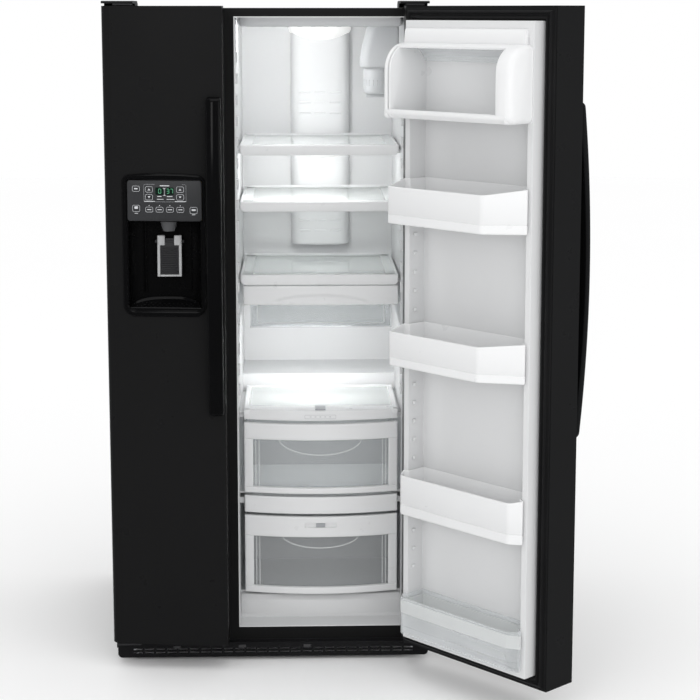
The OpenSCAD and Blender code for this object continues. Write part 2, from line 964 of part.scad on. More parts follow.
module freezer_door_skin() {
    color("#1b1b1d")
        difference() {
            door_skin(freezer_door_x, -1);
            dispenser_pocket(0.4);
        }
}

module freezer_door_foam() {
    color("#d9c27a")
        difference() {
            door_foam(freezer_door_x, -1, freezer_ring);
            dispenser_pocket(0.4);
            ice_chute_bore(32);
        }
}

module freezer_door_liner() {
    color("#e9eaea")
        difference() {
            door_liner(freezer_door_x, -1, freezer_ring);
            ice_chute_bore(32);
        }
}

module freezer_door_gasket() {
    color("#101011")
        door_gasket(freezer_ring);
}

module freezer_door_handle() {
    color("#0d0d0e")
        door_handle([freezer_edge - 4 - handle_width, freezer_edge - 4]);
}

module dispenser_housing() {
    color("#0f0f10") {
        difference() {
            union() {
                // Bezel that laps over the skin, in front of the box set into the door
                panel_layer(bezel_x, bezel_z, 26, 4);
                intersection() {
                    dispenser_pocket(0);
                    contour(2);
                }
            }
            span(recess_x, [-140, -39], recess_z);
            // Seat of the control panel
            difference() {
                front_plate([-361, -171], [-140, -60], [recess_z[1] + 2, 1291], 8);
                contour(0);
            }
            ice_chute_bore(26);
            rod_z([nozzle_x, -72, recess_z[1] - 1], 16, 40);
        }
        // Ears that carry the paddle
        for (s = [-1, 1])
            difference() {
                span([nozzle_x + s * 36 - 2, nozzle_x + s * 36 + 2], [-62, -38.5], [1122, 1138]);
                rod_x([nozzle_x + s * 36 - 3, -56, 1130], 4.06, 6);
            }
    }
}

// Control panel with its raised buttons
module control_panel() {
    color("#232427") {
        panel_layer([-360.5, -171.5], [recess_z[1] + 2.5, 1290.5], 7.5, 5.5);
        for (z = [1254, 1206])
            panel_layer([-352, -334], [z, z + 14], 3, 6.7);
        for (x = [-318, -240], z = [1240, 1262])
            panel_layer([x, x + 18], [z, z + 15], 2, 6.7);
        for (i = [0 : 3])
            panel_layer([-318 + i * 26, -298 + i * 26], [1212, 1226], 3, 6.7);
        panel_layer([-200, -182], [1206, 1220], 3, 6.7);
    }
}

// A rounded plate that follows the door's front, raised by g
module panel_layer(x, z, r, g) {
    difference() {
        intersection() {
            front_plate(x, [-140, -60], z, r);
            contour(g);
        }
        contour(0.4);
    }
}

module dispenser_nozzle() {
    color("#5d6064")
        difference() {
            union() {
                rod_z([nozzle_x, -72, 1153], 22, 31.7);
                rod_z([nozzle_x, -72, 1147], 17, 7);
            }
            rod_z([nozzle_x, -72, 1140], 12, 60);
        }
}

module dispenser_paddle() {
    color("#2b2d30") {
        translate([nozzle_x, -56, 1130])
            rotate([-4, 0, 0]) {
                span([-31, 31], [-2.5, 2.5], [-90, 8]);
                span([-22, 22], [-5, -2], [-84, -14]);
            }
        rod_x([nozzle_x - 37.5, -56, 1130], 4, 75);
    }
}

module drip_tray() {
    color("#17181a")
        difference() {
            intersection() {
                span([recess_x[0] + 1, recess_x[1] - 1], [-140, -40], [recess_z[0] + 0.2, recess_z[0] + 26]);
                contour(-3);
            }
            difference() {
                span([recess_x[0] + 5, recess_x[1] - 5], [-140, -44], [recess_z[0] + 4, recess_z[0] + 22]);
                difference() {
                    contour(10);
                    contour(-7);
                }
            }
            for (i = [0 : 12])
                span([recess_x[0] + 12 + i * 12.3, recess_x[0] + 19 + i * 12.3], [-78, -47],
                    [recess_z[0] + 20, recess_z[0] + 30]);
        }
}

module freezer_bin(z) {
    ring = freezer_ring;
    difference() {
        span([ring[0] + 16.5, ring[1] - 16.5], [door_back - 11.5, 64], z);
        span([ring[0] + 19.5, ring[1] - 19.5], [door_back - 8.5, 61], [z[0] + 3, z[1] + 1]);
    }
}

module freezer_door_bins() {
    color("#eceeee")
        for (z = [[124, 190], [330, 400], [560, 630], [1480, 1550]])
            freezer_bin(z);
}

// ---------- fresh food door ----------

fresh_door_x = [fresh_edge, half_width];

module fresh_food_door_skin() {
    color("#1b1b1d")
        door_skin(fresh_door_x, 1);
}

module fresh_food_door_foam() {
    color("#d9c27a")
        door_foam(fresh_door_x, 1, fresh_ring);
}

module fresh_food_door_liner() {
    color("#f1f2f2")
        door_liner(fresh_door_x, 1, fresh_ring);
}

module fresh_food_door_gasket() {
    color("#101011")
        door_gasket(fresh_ring);
}

module fresh_food_door_handle() {
    color("#0d0d0e")
        door_handle([fresh_edge + 4, fresh_edge + 4 + handle_width]);
}

// Plan of a door bin as [width, depth], inset by g: wide front, slanted free end
module bin_plan(reach, slant, g) {
    x = [fresh_ring[0] + 2, fresh_ring[1] - 3];
    top = door_back + dyke;
    front = door_back + reach;
    polygon([[x[0] + 18 + g, door_back - 11 + g], [x[1] - 16 - g, door_back - 11 + g],
        [x[1] - 16 - g, top + 1 + g], [x[1] - g, top + 1 + g], [x[1] - 12 - g, front - g],
        [x[0] + slant + g * 0.4, front - g], [x[0] + g, top + 6 - g * 0.4],
        [x[0] + g, top + 1 + g], [x[0] + 18 + g, top + 1 + g]]);
}

module door_bin(reach, slant, z) {
    difference() {
        translate([0, 0, z[0]])
            linear_extrude(z[1] - z[0])
                bin_plan(reach, slant, 0);
        translate([0, 0, z[0] + 4])
            linear_extrude(z[1] - z[0])
                bin_plan(reach, slant, 3.2);
    }
}

module fresh_food_door_bins() {
    color("#f3f4f4") {
        door_bin(122, 84, [1193, 1286]);
        door_bin(116, 98, [835, 922]);
        door_bin(72, 34, [441, 544]);
    }
}

module bottle_retainer() {
    color("#dfe6e8", 0.5)
        door_bin(68, 36, [121, 226]);
}

// Dairy compartment: profile as [depth, height], inset by g
dairy_z = [1453, 1640];
dairy_axis = [door_back + 55, 1570];
dairy_radius = 65.6;

module dairy_profile(g) {
    union() {
        translate([door_back - 11 + g, dairy_z[0] + g])
            square([66 - g, dairy_z[1] - dairy_z[0] - 2 * g]);
        translate([door_back, dairy_z[0] + g])
            square([dairy_axis[0] - door_back + dairy_radius - g, dairy_axis[1] - dairy_z[0] - g]);
        translate(dairy_axis)
            circle(r = dairy_radius - g, $fn = 96);
    }
}

module dairy_compartment() {
    x = [fresh_ring[0] + 19, fresh_ring[1] - 19];
    color("#f3f4f4")
        difference() {
            union() {
                side_profile(x)
                    dairy_profile(0);
                side_profile([fresh_ring[0] + 3, fresh_ring[1] - 3])
                    intersection() {
                        dairy_profile(0);
                        translate([door_back + dyke + 1, 0])
                            square([200, 2000]);
                    }
            }
            side_profile([x[0] + 5, x[1] - 5])
                dairy_profile(4);
            // Mouth
            span([x[0] + 5, x[1] - 5], [dairy_axis[0] + 24, 200], [dairy_z[0] + 22, 1700]);
            // Bores for the cover's pins
            rod_x([x[0] + 1, dairy_axis[0], dairy_axis[1]], 3.05, x[1] - x[0] - 2);
        }
}

// Curved cover that rolls back under the compartment's top, about its own pins
module dairy_cover() {
    x = [fresh_ring[0] + 24.6, fresh_ring[1] - 24.6];
    color("#e6eef0", 0.4) {
        translate([x[0], dairy_axis[0], dairy_axis[1]])
            rotate([90, 0, 90])
                rotate([0, 0, 64]) {
                    rotate_extrude(angle = 96, $fn = 96)
                        translate([58.5, 0])
                            square([2.5, x[1] - x[0]]);
                    for (h = [0, x[1] - x[0] - 2.5])
                        translate([0, 0, h])
                            rotate_extrude(angle = 96, $fn = 96)
                                translate([4, 0])
                                    square([55, 2.5]);
                }
        rod_x([x[0] - 2.8, dairy_axis[0], dairy_axis[1]], 3, 2.9);
        rod_x([x[1] - 0.1, dairy_axis[0], dairy_axis[1]], 3, 2.9);
        for (h = [x[0], x[1] - 2.5])
            rod_x([h, dairy_axis[0], dairy_axis[1]], 5, 2.5);
    }
}

// ---------- nodes ----------

place() cabinet_wrapper();
place() rear_panel();
place() insulation_foam();
place() freezer_liner();
place() fresh_food_liner();
place() base_frame();
place() base_grille();
place() levelling_legs();
place() rear_rollers();
place() hinge_brackets();
place() hinge_covers();
place() air_tower();
place() ceiling_light_shield();
place() water_filter_housing();
place() water_filter_cartridge();
place() shelf_frames();
place() shelf_glass();
place() drawer_covers();
place() snack_pan();
place() snack_pan_front();
place() crisper_pan();
place() crisper_front();
place() meat_pan();
place() meat_pan_front();
place() humidity_slider();
place() temperature_slider();
place() freezer_shelves();
place() freezer_baskets();
place() ice_maker();
place() ice_maker_arm();
place() ice_bucket();
place() ice_auger();
place() evaporator();
place() evaporator_cover();
place() evaporator_fan();
place() compressor();
place() condenser_coil();
place() condenser_fan();
place() machine_cover();
place() power_inlet();
place() freezer_door_skin();
place() freezer_door_foam();
place() freezer_door_liner();
place() freezer_door_gasket();
place() freezer_door_handle();
place() dispenser_housing();
place() control_panel();
place() dispenser_nozzle();
place() dispenser_paddle();
place() drip_tray();
place() freezer_door_bins();
swung() fresh_food_door_skin();
swung() fresh_food_door_foam();
swung() fresh_food_door_liner();
swung() fresh_food_door_gasket();
swung() fresh_food_door_handle();
swung() fresh_food_door_bins();
swung() dairy_compartment();
swung() dairy_cover();
swung() bottle_retainer();
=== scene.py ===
"""Looks of a side by side refrigerator with its fresh food door open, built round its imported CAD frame."""

import json
import math

import bmesh
import bpy
from mathutils import Matrix, Vector

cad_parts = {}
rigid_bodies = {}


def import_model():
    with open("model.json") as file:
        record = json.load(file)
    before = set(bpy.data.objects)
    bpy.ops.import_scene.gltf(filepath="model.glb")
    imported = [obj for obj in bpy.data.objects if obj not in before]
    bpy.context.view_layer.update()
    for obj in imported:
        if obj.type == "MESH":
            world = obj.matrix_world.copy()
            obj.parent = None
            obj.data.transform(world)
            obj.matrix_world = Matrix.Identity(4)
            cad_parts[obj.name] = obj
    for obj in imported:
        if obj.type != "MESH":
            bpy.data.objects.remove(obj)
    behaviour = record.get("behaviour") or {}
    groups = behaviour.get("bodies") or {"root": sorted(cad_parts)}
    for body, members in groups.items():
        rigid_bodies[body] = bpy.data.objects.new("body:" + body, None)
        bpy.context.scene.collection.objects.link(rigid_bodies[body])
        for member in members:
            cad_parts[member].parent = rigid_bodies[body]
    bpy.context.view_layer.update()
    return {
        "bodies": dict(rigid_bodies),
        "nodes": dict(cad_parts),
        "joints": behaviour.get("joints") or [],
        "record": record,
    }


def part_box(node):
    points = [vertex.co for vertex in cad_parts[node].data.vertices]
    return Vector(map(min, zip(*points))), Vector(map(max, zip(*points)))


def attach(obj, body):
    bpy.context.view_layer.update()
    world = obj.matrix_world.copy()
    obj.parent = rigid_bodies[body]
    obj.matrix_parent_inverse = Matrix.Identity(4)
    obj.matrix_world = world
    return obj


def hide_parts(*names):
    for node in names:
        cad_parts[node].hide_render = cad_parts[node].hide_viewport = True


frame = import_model()
nodes = frame["nodes"]

# ---------- the two drawing frames, in millimetres ----------

MM = 0.001
case_low, case_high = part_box("cabinet_wrapper")
# X from the cabinet's middle, Y back from its front face, Z up from the floor
CASE = Matrix.Translation(((case_low.x + case_high.x) / 2, case_low.y, 0)) @ Matrix.Scale(MM, 4)
joints = {joint["name"]: joint for joint in frame["joints"]}


def swung(joint, degrees):
    """A matrix that turns the cabinet's frame about a joint."""
    pivot = Matrix.Translation(Vector(joint["pos_m"]))
    turn = Matrix.Rotation(math.radians(degrees), 4, Vector(joint["axis"]))
    return pivot @ turn @ pivot.inverted() @ CASE


# The fresh food door is drawn closed and rests open
door_joint = joints["fresh_food_door_hinge"]
DOOR = swung(door_joint, -door_joint["range_deg"][0])


def limits(points):
    """The (low, high) pairs of points in X, Y and Z."""
    return [(min(p[i] for p in points), max(p[i] for p in points)) for i in range(3)]


def extent(node, drawn=CASE):
    """The limits of a CAD node, in the millimetres of a drawing frame."""
    back = drawn.inverted()
    return limits([back @ v.co for v in nodes[node].data.vertices])


def solids(node, drawn=CASE):
    """The limits of each solid of a CAD node, from the lowest to the highest."""
    shape = bmesh.new()
    shape.from_mesh(nodes[node].data)
    bmesh.ops.remove_doubles(shape, verts=shape.verts, dist=0.01 * MM)
    back = drawn.inverted()
    left = set(shape.verts)
    found = []
    while left:
        reached = [left.pop()]
        points = []
        while reached:
            vertex = reached.pop()
            points.append(back @ vertex.co)
            fresh = {edge.other_vert(vertex) for edge in vertex.link_edges} & left
            left -= fresh
            reached += fresh
        found.append(limits(points))
    shape.free()
    return sorted(found, key=lambda sides: sides[2][0])


# ---------- materials ----------


class Finish:
    """A node material that is filled in step by step."""

    def __init__(self, name):
        self.material = bpy.data.materials.new(name)
        self.material.use_nodes = True
        self.tree = self.material.node_tree
        self.shader = self.tree.nodes["Principled BSDF"]
        self.place = self.tree.nodes.new("ShaderNodeTexCoord").outputs["Object"]

    def node(self, kind, **values):
        made = self.tree.nodes.new("ShaderNode" + kind)
        for key, value in values.items():
            made.inputs[key.replace("_", " ")].default_value = value
        return made

    def link(self, source, target):
        self.tree.links.new(source, target)

    def noise(self, scale, detail=3.0, stretch=(1, 1, 1)):
        place = self.node("Mapping", Scale=stretch)
        self.link(self.place, place.inputs["Vector"])
        noise = self.node("TexNoise", Scale=scale, Detail=detail)
        self.link(place.outputs[0], noise.inputs["Vector"])
        return noise.outputs[0]

    def tones(self, low, high, source):
        mix = self.tree.nodes.new("ShaderNodeMix")
        mix.data_type = "RGBA"
        mix.inputs["A"].default_value = (*low, 1)
        mix.inputs["B"].default_value = (*high, 1)
        self.link(source, mix.inputs["Factor"])
        self.link(mix.outputs["Result"], self.shader.inputs["Base Color"])

    def roughness(self, low, high, source):
        span = self.node("MapRange", To_Min=low, To_Max=high)
        self.link(source, span.inputs["Value"])
        self.link(span.outputs[0], self.shader.inputs["Roughness"])

    def relief(self, depth, *sources):
        normal = None
        for source in sources:
            bump = self.node("Bump", Strength=1.0, Distance=depth)
            self.link(source, bump.inputs["Height"])
            if normal is not None:
                self.link(normal, bump.inputs["Normal"])
            normal = bump.outputs[0]
            depth *= 1.6
        self.link(normal, self.shader.inputs["Normal"])

    def set(self, **values):
        for key, value in values.items():
            self.shader.inputs[key.replace("_", " ")].default_value = value
        return self.material


def moulded(name, low, high, rough, grain=900.0, depth=0.00006, **values):
    """Injection moulded plastic: faint flow clouds, satin patches and a fine moulded grain."""
    finish = Finish(name)
    finish.tones(low, high, finish.noise(5.0, 2.0))
    finish.roughness(rough[0], rough[1], finish.noise(22.0, 3.0))
    finish.relief(depth, finish.noise(grain, 2.0))
    return finish.set(**values)


def enamel(name, rough, grain, depth, low=(0.0095, 0.0095, 0.0098), high=(0.0115, 0.0115, 0.0118), **values):
    """Baked paint on sheet steel: orange peel over a slow waviness, and hazy patches."""
    finish = Finish(name)
    wave = finish.noise(2.2, 2.0)
    finish.tones(low, high, wave)
    finish.roughness(rough[0], rough[1], finish.noise(14.0, 5.0))
    finish.relief(depth, finish.noise(grain, 2.0), finish.noise(45.0, 2.0))
    return finish.set(**values)


def metal(name, low, high, rough, stretch=(1, 1, 60)):
    """Plated or bare metal with fine drawn lines and stained patches."""
    finish = Finish(name)
    lines = finish.noise(160.0, 3.0, stretch)
    finish.tones(low, high, finish.noise(30.0, 6.0))
    finish.roughness(rough[0], rough[1], lines)
    finish.relief(0.00002, lines)
    return finish.set(Metallic=1.0)


def clear(name, tint, solid, rough=0.08):
    """Clear moulded plastic or glass: see-through, more mirror-like and tinted where it is seen edge on."""
    finish = Finish(name)
    finish.tones(tuple(c * 0.94 for c in tint), tint, finish.noise(12.0, 3.0))
    finish.roughness(rough * 0.6, rough * 1.5, finish.noise(60.0, 6.0))
    finish.relief(0.00004, finish.noise(40.0, 2.0))
    through = finish.node("BsdfTransparent", Color=(*(c ** 0.25 for c in tint), 1))
    edge = finish.node("LayerWeight", Blend=0.35)
    share = finish.node("MapRange", To_Min=solid, To_Max=min(1.0, solid + 0.55))
    finish.link(edge.outputs["Facing"], share.inputs["Value"])
    mix = finish.tree.nodes.new("ShaderNodeMixShader")
    finish.link(share.outputs[0], mix.inputs[0])
    finish.link(through.outputs[0], mix.inputs[1])
    finish.link(finish.shader.outputs[0], mix.inputs[2])
    finish.link(mix.outputs[0], finish.tree.nodes["Material Output"].inputs["Surface"])
    return finish.set(Specular_IOR_Level=0.6)


def foam(name):
    """Blown insulation: a yellow cellular mass with a dull skin."""
    finish = Finish(name)
    cells = finish.node("TexVoronoi", Scale=420.0)
    finish.link(finish.place, cells.inputs["Vector"])
    finish.tones((0.42, 0.27, 0.09), (0.68, 0.5, 0.22), finish.noise(35.0, 6.0))
    finish.roughness(0.75, 0.95, finish.noise(18.0, 3.0))
    finish.relief(0.0004, cells.outputs["Distance"], finish.noise(60.0, 4.0))
    return finish.set()


def lit(name, colour, strength):
    """A diffusing lens or a display with its lamp on."""
    finish = Finish(name)
    finish.tones(tuple(c * 0.9 for c in colour), colour, finish.noise(18.0, 3.0))
    finish.roughness(0.3, 0.4, finish.noise(40.0, 3.0))
    finish.relief(0.0001, finish.noise(300.0, 2.0))
    return finish.set(Emission_Color=(*colour, 1), Emission_Strength=strength)


FINISHES = {
    "black_enamel": enamel("door_enamel", (0.24, 0.34), 520.0, 0.00003, Specular_IOR_Level=0.1),
    "case_enamel": enamel("case_pebbled_enamel", (0.42, 0.47), 420.0, 0.0002, Specular_IOR_Level=0.2),
    "zinc_sheet": metal("zinc_sheet", (0.34, 0.35, 0.36), (0.5, 0.51, 0.52), (0.4, 0.6), (1, 1, 8)),
    "foam": foam("blown_foam"),
    "white_liner": moulded("white_liner", (0.66, 0.665, 0.67), (0.69, 0.695, 0.7), (0.3, 0.4)),
    "dark_steel": enamel("dark_steel", (0.4, 0.6), 200.0, 0.0001, (0.02, 0.02, 0.022), (0.04, 0.04, 0.043)),
    "black_plastic": moulded("black_plastic", (0.008, 0.008, 0.009), (0.014, 0.014, 0.015), (0.35, 0.5),
                             depth=0.00012, Specular_IOR_Level=0.2),
    "zinc_steel": metal("zinc_steel", (0.38, 0.38, 0.39), (0.6, 0.6, 0.6), (0.25, 0.45)),
    "grey_plastic": moulded("grey_plastic", (0.33, 0.34, 0.36), (0.42, 0.43, 0.45), (0.3, 0.42)),
    "white_plastic": moulded("white_plastic", (0.755, 0.76, 0.765), (0.78, 0.785, 0.79), (0.25, 0.33)),
    "frosted_plastic": moulded("frosted_plastic", (0.55, 0.56, 0.58), (0.62, 0.63, 0.65), (0.45, 0.6)),
    "shelf_glass": clear("shelf_glass", (0.93, 0.96, 0.95), 0.07, 0.03),
    "clear_plastic": clear("clear_plastic", (0.92, 0.94, 0.95), 0.12, 0.06),
    "white_wire": moulded("white_wire", (0.72, 0.73, 0.73), (0.82, 0.83, 0.83), (0.25, 0.4)),
    "cast_aluminium": metal("cast_aluminium", (0.42, 0.43, 0.44), (0.62, 0.63, 0.64), (0.4, 0.6), (1, 1, 1)),
    "stainless": metal("stainless", (0.5, 0.5, 0.5), (0.66, 0.66, 0.66), (0.2, 0.35)),
    "aluminium_fins": metal("aluminium_fins", (0.55, 0.56, 0.57), (0.72, 0.73, 0.74), (0.25, 0.4),
                            (60, 1, 1)),
    "dark_plastic": moulded("dark_plastic", (0.02, 0.02, 0.022), (0.035, 0.035, 0.038), (0.35, 0.5)),
    "black_rubber": moulded("black_rubber", (0.006, 0.006, 0.0065), (0.012, 0.012, 0.0125), (0.42, 0.6),
                            600.0, 0.0001, Specular_IOR_Level=0.2),
    "black_gloss": moulded("black_gloss", (0.0025, 0.0025, 0.0028), (0.004, 0.004, 0.0043), (0.08, 0.16),
                           300.0, 0.00002, Specular_IOR_Level=0.25),
    "panel_grey": moulded("panel_grey", (0.028, 0.029, 0.031), (0.04, 0.041, 0.044), (0.28, 0.4), 700.0),
}
MARK = moulded("panel_mark", (0.5, 0.51, 0.53), (0.6, 0.61, 0.63), (0.4, 0.5))
LAMP = lit("lamp_lens", (0.85, 0.85, 0.84), 0.35)
DIGIT = lit("display_digit", (0.08, 0.3, 0.16), 0.45)
DISPLAY = moulded("display_glass", (0.004, 0.012, 0.008), (0.006, 0.018, 0.012), (0.1, 0.2))
DARK_SATIN = moulded("recess_black", (0.002, 0.002, 0.0022), (0.0032, 0.0032, 0.0034), (0.22, 0.32),
                     depth=0.00004, Specular_IOR_Level=0.2)
SPOUT = moulded("spout_grey", (0.07, 0.072, 0.076), (0.1, 0.102, 0.106), (0.2, 0.3), Specular_IOR_Level=0.8)
SILVER = moulded("paddle_silver", (0.36, 0.365, 0.37), (0.44, 0.445, 0.45), (0.2, 0.3),
                 Specular_IOR_Level=0.9)
CLIP = moulded("clip_grey", (0.04, 0.04, 0.042), (0.06, 0.06, 0.063), (0.3, 0.4))
FROST = clear("frosted_band", (0.8, 0.82, 0.82), 0.6, 0.4)
RIM = clear("pan_rim", (0.96, 0.97, 0.98), 0.55, 0.05)
SHROUD = moulded("shroud_grey", (0.56, 0.57, 0.58), (0.62, 0.63, 0.64), (0.3, 0.42))
# The filter's white plastic darkened to grey: painted shade, not the plastic's own colour
SHADED_FILTER_WHITE = moulded("filter_white_painted_shade", (0.48, 0.49, 0.5), (0.52, 0.53, 0.54), (0.3, 0.42))
GUIDE = moulded("guide_grey", (0.5, 0.51, 0.52), (0.56, 0.57, 0.58), (0.35, 0.5))

# ---------- mesh helpers ----------


def piece(name, points, faces, drawn, body, slot, finish=None, smooth=True, angle=35, bevel=0.0):
    """A mesh drawn in millimetres that rides on a body."""
    mesh = bpy.data.meshes.new(name)
    mesh.from_pydata([drawn @ Vector(p) for p in points], [], faces)
    tidy = bmesh.new()
    tidy.from_mesh(mesh)
    bmesh.ops.remove_doubles(tidy, verts=tidy.verts, dist=0.01 * MM)
    bmesh.ops.recalc_face_normals(tidy, faces=tidy.faces)
    for face in tidy.faces:
        face.smooth = smooth
    for edge in tidy.edges:
        if len(edge.link_faces) == 2 and edge.calc_face_angle(0.0) > math.radians(angle):
            edge.smooth = False
    tidy.to_mesh(mesh)
    tidy.free()
    made = bpy.data.objects.new(name, mesh)
    bpy.context.scene.collection.objects.link(made)
    mesh.materials.append(finish or FINISHES[slot])
    if bevel:
        soften(made, bevel, 3)
    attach(made, body)
    return made


def soften(made, width, segments=2):
    """Rounds an object's sharp edges by a width in millimetres."""
    bevel = made.modifiers.new("rounded_edges", "BEVEL")
    bevel.width = width * MM
    bevel.segments = segments
    bevel.limit_method = "ANGLE"
    bevel.angle_limit = math.radians(32)
    bevel.use_clamp_overlap = True
    normals = made.modifiers.new("even_normals", "WEIGHTED_NORMAL")
    normals.keep_sharp = True


def arc_corners(corners, radius, steps=6, sides=1):
    """An outline with its corners turned into arcs, of one radius or one each. sides splits the straights."""
    outline = []
    for i, corner in enumerate(corners):
        r = radius[i] if isinstance(radius, (list, tuple)) else radius
        here = Vector(corner)
        to_last = (Vector(corners[i - 1]) - here).normalized()
        to_next = (Vector(corners[(i + 1) % len(corners)]) - here).normalized()
        half = to_last.angle(to_next) / 2
        centre = here + (to_last + to_next).normalized() * (r / math.sin(half))
        start = here + to_last * (r / math.tan(half)) - centre
        end = here + to_next * (r / math.tan(half)) - centre
        first = math.atan2(start.y, start.x)
        sweep = (math.atan2(end.y, end.x) - first + math.pi) % (2 * math.pi) - math.pi
        for k in range(steps + 1):
            turn = first + sweep * k / steps
            outline.append(centre + Vector((math.cos(turn), math.sin(turn))) * r)
    if sides == 1:
        return outline
    split = []
    for i, here in enumerate(outline):
        split.append(here)
        if i % (steps + 1) == steps:
            after = outline[(i + 1) % len(outline)]
            split += [here.lerp(after, k / sides) for k in range(1, sides)]
    return split


def inset(outline, distance):
    """The outline, which runs anticlockwise, moved inward."""
    moved = []
    for i, here in enumerate(outline):
        before = (here - outline[i - 1]).normalized()
        after = (outline[(i + 1) % len(outline)] - here).normalized()
        inward = Vector((-before.y - after.y, before.x + after.x)).normalized()
        moved.append(here + inward * distance / max(0.6, inward.dot(Vector((-before.y, before.x)))))
    return moved


def rings(loops, closed=False):
    """Points and faces of a skin through loops of equally many points, capped at both ends unless closed."""
    count = len(loops[0])
    points = [p for loop in loops for p in loop]
    faces = []
    for k in range(len(loops) if closed else len(loops) - 1):
        a, b = k * count, (k + 1) % len(loops) * count
        faces += [(a + i, a + (i + 1) % count, b + (i + 1) % count, b + i) for i in range(count)]
    if not closed:
        faces.append(tuple(range(count)))
        faces.append(tuple(range((len(loops) - 1) * count, len(loops) * count)))
    return points, faces


def tray(outline, levels):
    """A skin that follows an outline at each (inset, height). A height may be a function of the point."""
    loops = []
    for distance, height in levels:
        loop = inset(outline, distance)
        loops.append([(p.x, p.y, height(p) if callable(height) else height) for p in loop])
    return rings(loops)


# ---------- CAD nodes that stay, with rounded edges and their finishes ----------


def dress(node, slot, width):
    """Gives a CAD node its finish and eases its edges."""
    made = nodes[node]
    made.data.materials.clear()
    made.data.materials.append(FINISHES[slot])
    if width:
        weld = made.modifiers.new("weld", "WELD")
        weld.merge_threshold = 0.02 * MM
        flat = made.modifiers.new("flat_faces", "DECIMATE")
        flat.decimate_type = "DISSOLVE"
        flat.angle_limit = math.radians(1.0)
        soften(made, width)


record_slots = {part["node"]: part["material_slot"] for part in frame["record"]["subparts"]}
# Radius of the eased edges, in millimetres
ROUNDING = {
    "snack_pan": 1.2, "crisper_pan": 1.2, "meat_pan": 1.2, "base_grille": 1.5, "hinge_brackets": 1.0,
    "fresh_food_liner": 3.0, "freezer_door_liner": 4.0, "fresh_food_door_liner": 4.0, "ice_maker": 1.5,
    "freezer_baskets": 1.2, "ice_bucket": 1.5, "evaporator_cover": 1.0, "cabinet_wrapper": 0.6,
    "humidity_slider": 0.8, "temperature_slider": 0.8, "shelf_glass": 0.5,
}
PAINTED = {"cabinet_wrapper": "case_enamel", "hinge_brackets": "dark_steel"}
for node in nodes:
    dress(node, PAINTED.get(node, record_slots[node]), ROUNDING.get(node, 0.0))

# ---------- shared shapes ----------


def merged(*parts):
    """Several (points, faces) as one."""
    points, faces = [], []
    for more, sides in parts:
        base = len(points)
        points += list(more)
        faces += [tuple(base + i for i in side) for side in sides]
    return points, faces


def mapped(part, rule):
    """The part with each point put through a rule."""
    points, faces = part
    return [rule(*p) for p in points], faces


def facing(part):
    """From an outline in width and height, with its thickness towards the front."""
    return mapped(part, lambda u, v, w: (u, -w, v))


def sideways(part):
    """From an outline in depth and height, with its thickness across the width."""
    return mapped(part, lambda u, v, w: (w, u, v))


def pillow(outline, low, high, edge):
    """A plate over an outline, with rounded rims."""
    turns = [math.pi / 2 * k / 3 for k in range(4)]
    lower = [(edge * (1 - math.sin(a)), low + edge * (1 - math.cos(a))) for a in turns]
    upper = [(edge * (1 - math.cos(a)), high - edge * (1 - math.sin(a))) for a in turns]
    return tray(outline, lower + upper)


def rectangle(u, v, radius, steps=6, sides=1):
    """An outline between two pairs of limits, with its corners rounded as arc_corners does it."""
    return arc_corners([(u[0], v[0]), (u[1], v[0]), (u[1], v[1]), (u[0], v[1])], radius, steps, sides)


def block(x, y, z, edge):
    """A rounded box."""
    return pillow(rectangle(x, y, edge * 1.2, 4), z[0], z[1], edge)


def around(steps):
    """The angles of a full turn."""
    return [2 * math.pi * k / steps for k in range(steps)]


def band(outline, width, low, high):
    """A flat frame inside an outline."""
    inner = inset(outline, width)
    levels = [(outline, low), (outline, high), (inner, high), (inner, low)]
    return rings([[(p.x, p.y, h) for p in loop] for loop, h in levels], closed=True)


def lathe(centre, profile, steps=40):
    """A turned shape about an upright axis, from its (radius, height) profile."""
    return rings([[(centre[0] + radius * math.cos(a), centre[1] + radius * math.sin(a), height)
                   for a in around(steps)] for radius, height in profile])


def tube(path, radius):
    """A round bead along points."""
    loops = []
    for i, here in enumerate(path):
        along = (Vector(path[min(i + 1, len(path) - 1)]) - Vector(path[max(i - 1, 0)])).normalized()
        across = along.cross(Vector((0, 1, 0))).normalized()
        other = along.cross(across)
        loops.append([tuple(Vector(here) + across * radius * math.cos(a) + other * radius * math.sin(a))
                      for a in around(8)])
    return rings(loops)


def spaced(span, count, extra):
    """Shares of a span from 0 to 1, closer at both ends, with a line at each extra place."""
    shares = [(1 - math.cos(math.pi * k / count)) / 2 for k in range(count + 1)]
    return sorted(shares + [(place - span[0]) / (span[1] - span[0]) for place in extra])


def sculpted(x, z, front, back, edge=2.0, corner=0.0, grid=(64, 14), lines=((), ())):
    """A panel whose face follows front(x, z), with eased edges and rounded lower corners."""
    across, up = spaced(x, grid[0], lines[0]), spaced(z, grid[1], lines[1])
    columns, rows = len(across) - 1, len(up) - 1
    near, far = [], []
    for level in up:
        v = z[0] + (z[1] - z[0]) * level
        rise = max(0.0, corner - (v - z[0]))
        trim = corner - math.sqrt(max(0.0, corner * corner - rise * rise))
        for share in across:
            u = x[0] + trim + (x[1] - x[0] - 2 * trim) * share
            gap = min(u - x[0] - trim, x[1] - trim - u, v - z[0], z[1] - v, edge)
            ease = edge - math.sqrt(max(0.0, edge * edge - (edge - gap) ** 2))
            near.append((u, front(u, v) + ease, v))
            far.append((u, back, v))
    wide = columns + 1
    half = len(near)
    faces = []
    for k in range(rows):
        for i in range(columns):
            a = k * wide + i
            faces.append((a, a + 1, a + 1 + wide, a + wide))
            faces.append((half + a, half + a + wide, half + a + 1 + wide, half + a + 1))
    rim = list(range(wide)) + [k * wide + columns for k in range(1, rows + 1)]
    rim += [rows * wide + i for i in range(columns - 1, -1, -1)] + [k * wide for k in range(rows - 1, 0, -1)]
    faces += [(a, b, half + b, half + a) for a, b in zip(rim, rim[1:] + rim[:1])]
    return near + far, faces


